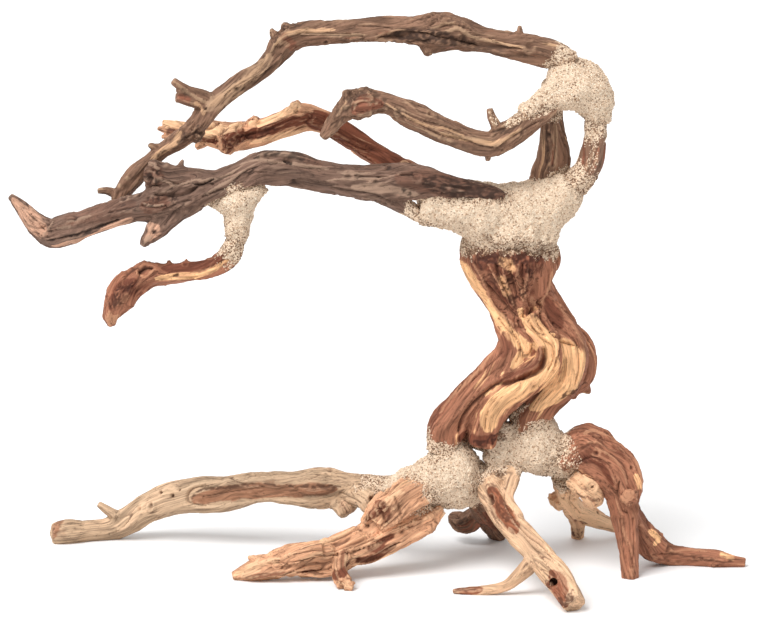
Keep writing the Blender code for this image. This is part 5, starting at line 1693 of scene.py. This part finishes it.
def sand_group():
    """Grains of sand in many tones: a colour and a height, from how gritty the place is."""
    name = "Sand grains"
    if name in bpy.data.node_groups:
        return bpy.data.node_groups[name]
    colours = ("Cream", "White", "Tan", "Brown")
    made, tree, entry, out = group(
        name, [(c, "NodeSocketColor") for c in colours] + [("Grit", "NodeSocketFloat")],
        [("Color", "NodeSocketColor"), ("Height", "NodeSocketFloat"), ("Chance", "NodeSocketFloat")])
    place = tree.add("ShaderNodeTexCoord").outputs["Object"]
    bend = tree.add("ShaderNodeTexNoise", {"Vector": place, "Scale": GRAIN_BEND, "Detail": 2.0})
    moved = tree.add("ShaderNodeVectorMath", operation="MULTIPLY_ADD")
    tree.set(moved.inputs[0], bend.outputs["Color"])
    tree.set(moved.inputs[1], (0.0009, 0.0009, 0.0009))
    tree.set(moved.inputs[2], place)
    cells = tree.add("ShaderNodeTexVoronoi", {
        "Vector": moved.outputs[0], "Scale": GRAIN_CELLS, "Randomness": 1.0})
    split = tree.add("ShaderNodeSeparateColor", {"Color": cells.outputs["Color"]})
    tone = tree.maths("ADD", split.outputs[0], tree.maths("MULTIPLY", entry.outputs["Grit"], 0.16))
    wide = tree.add("ShaderNodeTexNoise", {"Vector": place, "Scale": SAND_CLOUDS, "Detail": 3.0}).outputs[0]
    tone = tree.maths("ADD", tone, tree.maths("MULTIPLY", tree.maths("SUBTRACT", wide, 0.5), 0.35))
    colour = tree.mix(tree.span(tone, 0.08, 0.2), entry.outputs["White"], entry.outputs["Cream"])
    colour = tree.mix(tree.span(tone, 0.68, 0.9), colour, entry.outputs["Tan"])
    colour = tree.mix(tree.span(tone, 0.92, 1.02), colour, entry.outputs["Brown"])
    edge = tree.span(cells.outputs["Distance"], 0.25, 0.75, 1.0, 0.0)
    colour = tree.mix(tree.maths("MULTIPLY", tree.maths("SUBTRACT", 1.0, edge), 0.25),
                      colour, entry.outputs["Tan"])
    tree.set(out.inputs["Color"], colour)
    tree.set(out.inputs["Height"], edge)
    tree.set(out.inputs["Chance"], split.outputs[1])
    return made


def wood_group():
    """Weathered wood: bark, bare wood and heartwood in streaks along the grain, with worn streaks and
    painted highlights on crests, cracks and hollows darkened with painted shade, and sand near the joints."""
    name = "Weathered wood"
    if name in bpy.data.node_groups:
        return bpy.data.node_groups[name]
    colours = ("Bark", "Light", "Heart", "Bare", "Crack", "Cream", "White", "Tan", "Brown")
    made, tree, entry, out = group(
        name, [(c, "NodeSocketColor") for c in colours],
        [("Color", "NodeSocketColor"), ("Roughness", "NodeSocketFloat"), ("Height", "NodeSocketFloat")])
    grain = tree.attribute("grain").outputs["Vector"]
    place = tree.add("ShaderNodeTexCoord").outputs["Object"]
    fine = tree.add("ShaderNodeTexNoise", {
        "Vector": tree.scaled(grain, FINE_LINES), "Scale": 1.0, "Detail": 4.0,
        "Roughness": 0.6}).outputs[0]
    streak = tree.add("ShaderNodeTexNoise", {
        "Vector": tree.scaled(grain, STREAK_LINES), "Scale": 1.0, "Detail": 3.0}).outputs[0]
    blotch = tree.add("ShaderNodeTexNoise", {
        "Vector": tree.scaled(grain, BLOTCHES), "Scale": 1.0, "Detail": 3.0}).outputs[0]
    dots = tree.add("ShaderNodeTexNoise", {"Vector": place, "Scale": WOOD_DOTS, "Detail": 3.0}).outputs[0]
    layers = tree.attribute("layers")
    split = tree.add("ShaderNodeSeparateColor", {"Color": layers.outputs["Color"]})
    bare, heart, light = split.outputs[0], split.outputs[1], split.outputs[2]
    crack = layers.outputs["Alpha"]
    nudge = tree.maths("MULTIPLY", tree.maths("SUBTRACT", fine, 0.5), 0.7)

    def edged(value):
        return tree.span(tree.maths("ADD", value, nudge), 0.12, 0.88)

    colour = tree.mix(edged(heart), entry.outputs["Bark"], entry.outputs["Heart"])
    colour = tree.mix(edged(bare), colour, entry.outputs["Bare"])
    tone = tree.maths("ADD", tree.maths("MULTIPLY", fine, 0.5), tree.maths("MULTIPLY", streak, 0.5))
    shade = tree.span(tone, 0.34, 0.66, 0.6, 1.38)
    shade = tree.maths("MULTIPLY", shade, tree.span(blotch, 0.3, 0.7, 0.84, 1.16))
    scaled = tree.add("ShaderNodeVectorMath", operation="SCALE")
    tree.set(scaled.inputs[0], colour)
    tree.set(scaled.inputs["Scale"], shade)
    # worn streaks and painted highlights, mixed towards the worn colour
    colour = tree.mix(tree.maths("MULTIPLY", edged(light), 0.7, clamp=True), scaled.outputs[0],
                      entry.outputs["Light"])
    pits = tree.maths("MULTIPLY", tree.span(dots, 0.38, 0.26), 0.5)
    lines = tree.maths("MULTIPLY", tree.span(fine, 0.42, 0.3), 0.55)
    # dark wood and painted shade in cracks, grooves, holes and furrows, with dark dots and grain lines
    crack = tree.maths(
        "MAXIMUM", tree.maths("MULTIPLY", edged(crack), 0.85), tree.maths("MAXIMUM", pits, lines))
    colour = tree.mix(crack, colour, entry.outputs["Crack"])

    sand = tree.add("ShaderNodeGroup", node_tree=sand_group())
    for key in ("Cream", "White", "Tan", "Brown"):
        tree.set(sand.inputs[key], entry.outputs[key])
    tree.set(sand.inputs["Grit"], tree.maths("ADD", tree.maths("MULTIPLY", crack, 3.5), 1.6))
    dust = tree.attribute("dust").outputs["Fac"]
    cover = tree.maths("SUBTRACT", tree.maths("MULTIPLY", dust, 1.25), sand.outputs["Chance"])
    cover = tree.span(cover, 0.0, 0.15)
    tree.set(out.inputs["Color"], tree.mix(cover, colour, sand.outputs["Color"]))
    tree.set(out.inputs["Roughness"], tree.span(tone, 0.3, 0.7, 0.9, 0.62))
    height = tree.maths("ADD", tree.maths("MULTIPLY", fine, 0.5), tree.maths("MULTIPLY", streak, 0.5))
    height = tree.maths("SUBTRACT", height, tree.maths("MULTIPLY", crack, 0.5))
    raised = tree.maths("MULTIPLY", cover, sand.outputs["Height"])
    height = tree.maths("ADD", height, tree.maths("MULTIPLY", raised, 0.7))
    tree.set(out.inputs["Height"], height)
    return made


def new_material(name):
    """A material with only its Principled shader, and the tree to add nodes to."""
    made = bpy.data.materials.new(name)
    made.use_nodes = True
    shader = made.node_tree.nodes["Principled BSDF"]
    shader.inputs["Metallic"].default_value = 0.0
    shader.inputs["Specular IOR Level"].default_value = 0.25
    return made, Tree(made.node_tree), shader


def bumped(tree, height, distance, strength):
    return tree.add("ShaderNodeBump", {
        "Height": height, "Distance": distance, "Strength": strength}).outputs["Normal"]


def colour_of(key):
    return (*getattr(bpy.context.scene.driftwood_colours, key), 1.0)


def wood_material(finish):
    name = finish.replace("_", " ").capitalize()
    if name in bpy.data.materials:
        return bpy.data.materials[name]
    made, tree, shader = new_material(name)
    wood = tree.add("ShaderNodeGroup", node_tree=wood_group())
    for key in ("Bark", "Light", "Heart", "Bare", "Crack"):
        wood.inputs[key].default_value = colour_of(f"{finish}_{key.lower()}")
    for key in ("Cream", "White", "Tan", "Brown"):
        wood.inputs[key].default_value = colour_of(f"sand_{key.lower()}")
    tree.set(shader.inputs["Base Color"], wood.outputs["Color"])
    tree.set(shader.inputs["Roughness"], wood.outputs["Roughness"])
    tree.set(shader.inputs["Normal"], bumped(tree, wood.outputs["Height"], BUMP_HEIGHT, 0.7))
    return made


def sand_material():
    name = "Sand"
    if name in bpy.data.materials:
        return bpy.data.materials[name]
    made, tree, shader = new_material(name)
    sand = tree.add("ShaderNodeGroup", node_tree=sand_group())
    for key in ("Cream", "White", "Tan", "Brown"):
        sand.inputs[key].default_value = colour_of(f"sand_{key.lower()}")
    tree.set(sand.inputs["Grit"], tree.attribute("grit").outputs["Fac"])
    # painted shade: browner in the hollows of the sand
    hollow = tree.attribute("hollow").outputs["Fac"]
    colour = tree.mix(tree.maths("MULTIPLY", hollow, 0.5), sand.outputs["Color"], colour_of("sand_brown"))
    tree.set(shader.inputs["Base Color"], colour)
    shader.inputs["Roughness"].default_value = 0.92
    tree.set(shader.inputs["Normal"], bumped(tree, sand.outputs["Height"], BUMP_HEIGHT, 0.8))
    return made


def grain_material():
    """Loose grains: each has one tone, from cream and white to tan and dark brown."""
    name = "Sand grains"
    if name in bpy.data.materials:
        return bpy.data.materials[name]
    made, tree, shader = new_material(name)
    tone = tree.attribute("tone").outputs["Fac"]
    colour = tree.mix(tree.span(tone, 0.15, 0.25), colour_of("sand_white"), colour_of("sand_cream"))
    colour = tree.mix(tree.span(tone, 0.6, 0.85), colour, colour_of("sand_tan"))
    colour = tree.mix(tree.span(tone, 0.84, 0.94), colour, colour_of("sand_brown"))
    mottle = tree.add("ShaderNodeTexNoise", {
        "Vector": tree.add("ShaderNodeTexCoord").outputs["Object"], "Scale": GRAIN_MOTTLE}).outputs[0]
    shade = tree.add("ShaderNodeVectorMath", operation="SCALE")
    tree.set(shade.inputs[0], colour)
    tree.set(shade.inputs["Scale"], tree.span(mottle, 0.3, 0.7, 0.85, 1.1))
    tree.set(shader.inputs["Base Color"], shade.outputs[0])
    shader.inputs["Roughness"].default_value = 0.7
    return made


# Operators

class WoodOperator:
    """What the operators that make pieces of wood share."""
    bl_options = {"REGISTER", "UNDO"}
    woods = ()

    def execute(self, context):
        for name in self.woods:
            make_wood(name, context.scene.driftwood_sizes)
        return {"FINISHED"}


class DRIFTWOOD_OT_trunk(WoodOperator, bpy.types.Operator):
    """Add the trunk, with its crown and its strands"""
    bl_idname = "driftwood.trunk"
    bl_label = "Trunk"
    woods = ("trunk",)


class DRIFTWOOD_OT_branches(WoodOperator, bpy.types.Operator):
    """Add the four branches that reach to the left"""
    bl_idname = "driftwood.branches"
    bl_label = "Branches"
    woods = ("long_branch", "top_branch", "back_branch", "middle_branch")


class DRIFTWOOD_OT_struts(WoodOperator, bpy.types.Operator):
    """Add the two struts between the upper joint and the crown"""
    bl_idname = "driftwood.struts"
    bl_label = "Struts"
    woods = ("rear_strut", "right_strut")


class DRIFTWOOD_OT_twig(WoodOperator, bpy.types.Operator):
    """Add the twig that hangs from the long branch"""
    bl_idname = "driftwood.twig"
    bl_label = "Hanging Twig"
    woods = ("hanging_twig",)


class DRIFTWOOD_OT_roots(WoodOperator, bpy.types.Operator):
    """Add the roots that the tree stands on"""
    bl_idname = "driftwood.roots"
    bl_label = "Roots"
    woods = ("left_root", "front_left_root", "front_root", "back_root", "arch_root", "pale_root")


class DRIFTWOOD_OT_joints(bpy.types.Operator):
    """Add the glued joints with their sand, after the wood that the sand spills on"""
    bl_idname = "driftwood.joints"
    bl_label = "Sand Joints"
    bl_options = {"REGISTER", "UNDO"}

    def execute(self, context):
        for name in JOINTS:
            make_joint(name, context.scene.driftwood_sizes)
        return {"FINISHED"}


def add_sun(name, place, aim, size, strength):
    """A sun of a given apparent size, turned to the aim."""
    bpy.ops.object.light_add(type="SUN", location=place)
    made = bpy.context.object
    made.name = name
    made.data.angle = size
    made.data.energy = strength
    made.rotation_euler = (Vector(aim) - Vector(place)).to_track_quat("-Z", "Y").to_euler()


class DRIFTWOOD_OT_stage(bpy.types.Operator):
    """Add the white table, the studio light and the camera"""
    bl_idname = "driftwood.stage"
    bl_label = "Studio"
    bl_options = {"REGISTER", "UNDO"}

    def execute(self, context):
        studio = context.scene.driftwood_studio
        bpy.ops.object.select_all(action="DESELECT")
        bpy.ops.mesh.primitive_plane_add(size=TABLE_SIZE, location=(0, 0, 0))
        floor = context.object
        floor.name = "floor"
        made, tree, shader = new_material("White table")
        soft = tree.add("ShaderNodeTexNoise", {
            "Vector": tree.add("ShaderNodeTexCoord").outputs["Object"], "Scale": 3.0}).outputs[0]
        tree.set(shader.inputs["Base Color"], tree.mix(
            soft, (0.84, 0.84, 0.84, 1.0), (0.86, 0.86, 0.86, 1.0)))
        shader.inputs["Roughness"].default_value = 0.6
        floor.data.materials.append(made)

        aim = Vector(VIEW_AIM) * MM
        add_sun("key", KEY_PLACE, aim, studio.key_size, studio.key_strength)

        world = bpy.data.worlds.new("White surround")
        world.use_nodes = True
        ground = world.node_tree.nodes["Background"]
        ground.inputs["Color"].default_value = (1.0, 1.0, 1.0, 1.0)
        ground.inputs["Strength"].default_value = studio.surround
        context.scene.world = world

        tilt = studio.height_angle
        away = Vector((0, -math.cos(tilt), math.sin(tilt))) * studio.distance
        bpy.ops.object.camera_add(location=aim + away)
        camera = context.object
        camera.rotation_euler = (math.pi / 2 - tilt, 0, 0)
        camera.data.lens = studio.lens
        camera.data.sensor_width = SENSOR_WIDTH
        context.scene.camera = camera
        context.scene.view_settings.view_transform = "Standard"
        return {"FINISHED"}


class DRIFTWOOD_PT_panel(bpy.types.Panel):
    """Lists the pieces of the tree and their settings"""
    bl_idname = "DRIFTWOOD_PT_panel"
    bl_label = "Driftwood Tree"
    bl_space_type = "VIEW_3D"
    bl_region_type = "UI"
    bl_category = "Driftwood"

    def draw(self, context):
        column = self.layout.column()
        for operator in OPERATORS:
            column.operator(operator.bl_idname)
        for group_name, settings in (
                ("Sizes", context.scene.driftwood_sizes), ("Colours", context.scene.driftwood_colours),
                ("Studio", context.scene.driftwood_studio)):
            box = self.layout.box()
            box.label(text=group_name)
            for key in type(settings).__annotations__:
                box.prop(settings, key)


OPERATORS = (
    DRIFTWOOD_OT_trunk, DRIFTWOOD_OT_branches, DRIFTWOOD_OT_struts, DRIFTWOOD_OT_twig,
    DRIFTWOOD_OT_roots, DRIFTWOOD_OT_joints, DRIFTWOOD_OT_stage,
)
GROUPS = (DriftwoodSizes, DriftwoodColours, DriftwoodStudio)


def register():
    for made in (*GROUPS, *OPERATORS, DRIFTWOOD_PT_panel):
        bpy.utils.register_class(made)
    bpy.types.Scene.driftwood_sizes = PointerProperty(type=DriftwoodSizes)
    bpy.types.Scene.driftwood_colours = PointerProperty(type=DriftwoodColours)
    bpy.types.Scene.driftwood_studio = PointerProperty(type=DriftwoodStudio)


def unregister():
    del bpy.types.Scene.driftwood_sizes
    del bpy.types.Scene.driftwood_colours
    del bpy.types.Scene.driftwood_studio
    for made in reversed((*GROUPS, *OPERATORS, DRIFTWOOD_PT_panel)):
        bpy.utils.unregister_class(made)


def main():
    register()
    bpy.ops.driftwood.trunk()
    bpy.ops.driftwood.branches()
    bpy.ops.driftwood.struts()
    bpy.ops.driftwood.twig()
    bpy.ops.driftwood.roots()
    bpy.ops.driftwood.joints()
    bpy.ops.driftwood.stage()


if __name__ == "__main__":
    main()
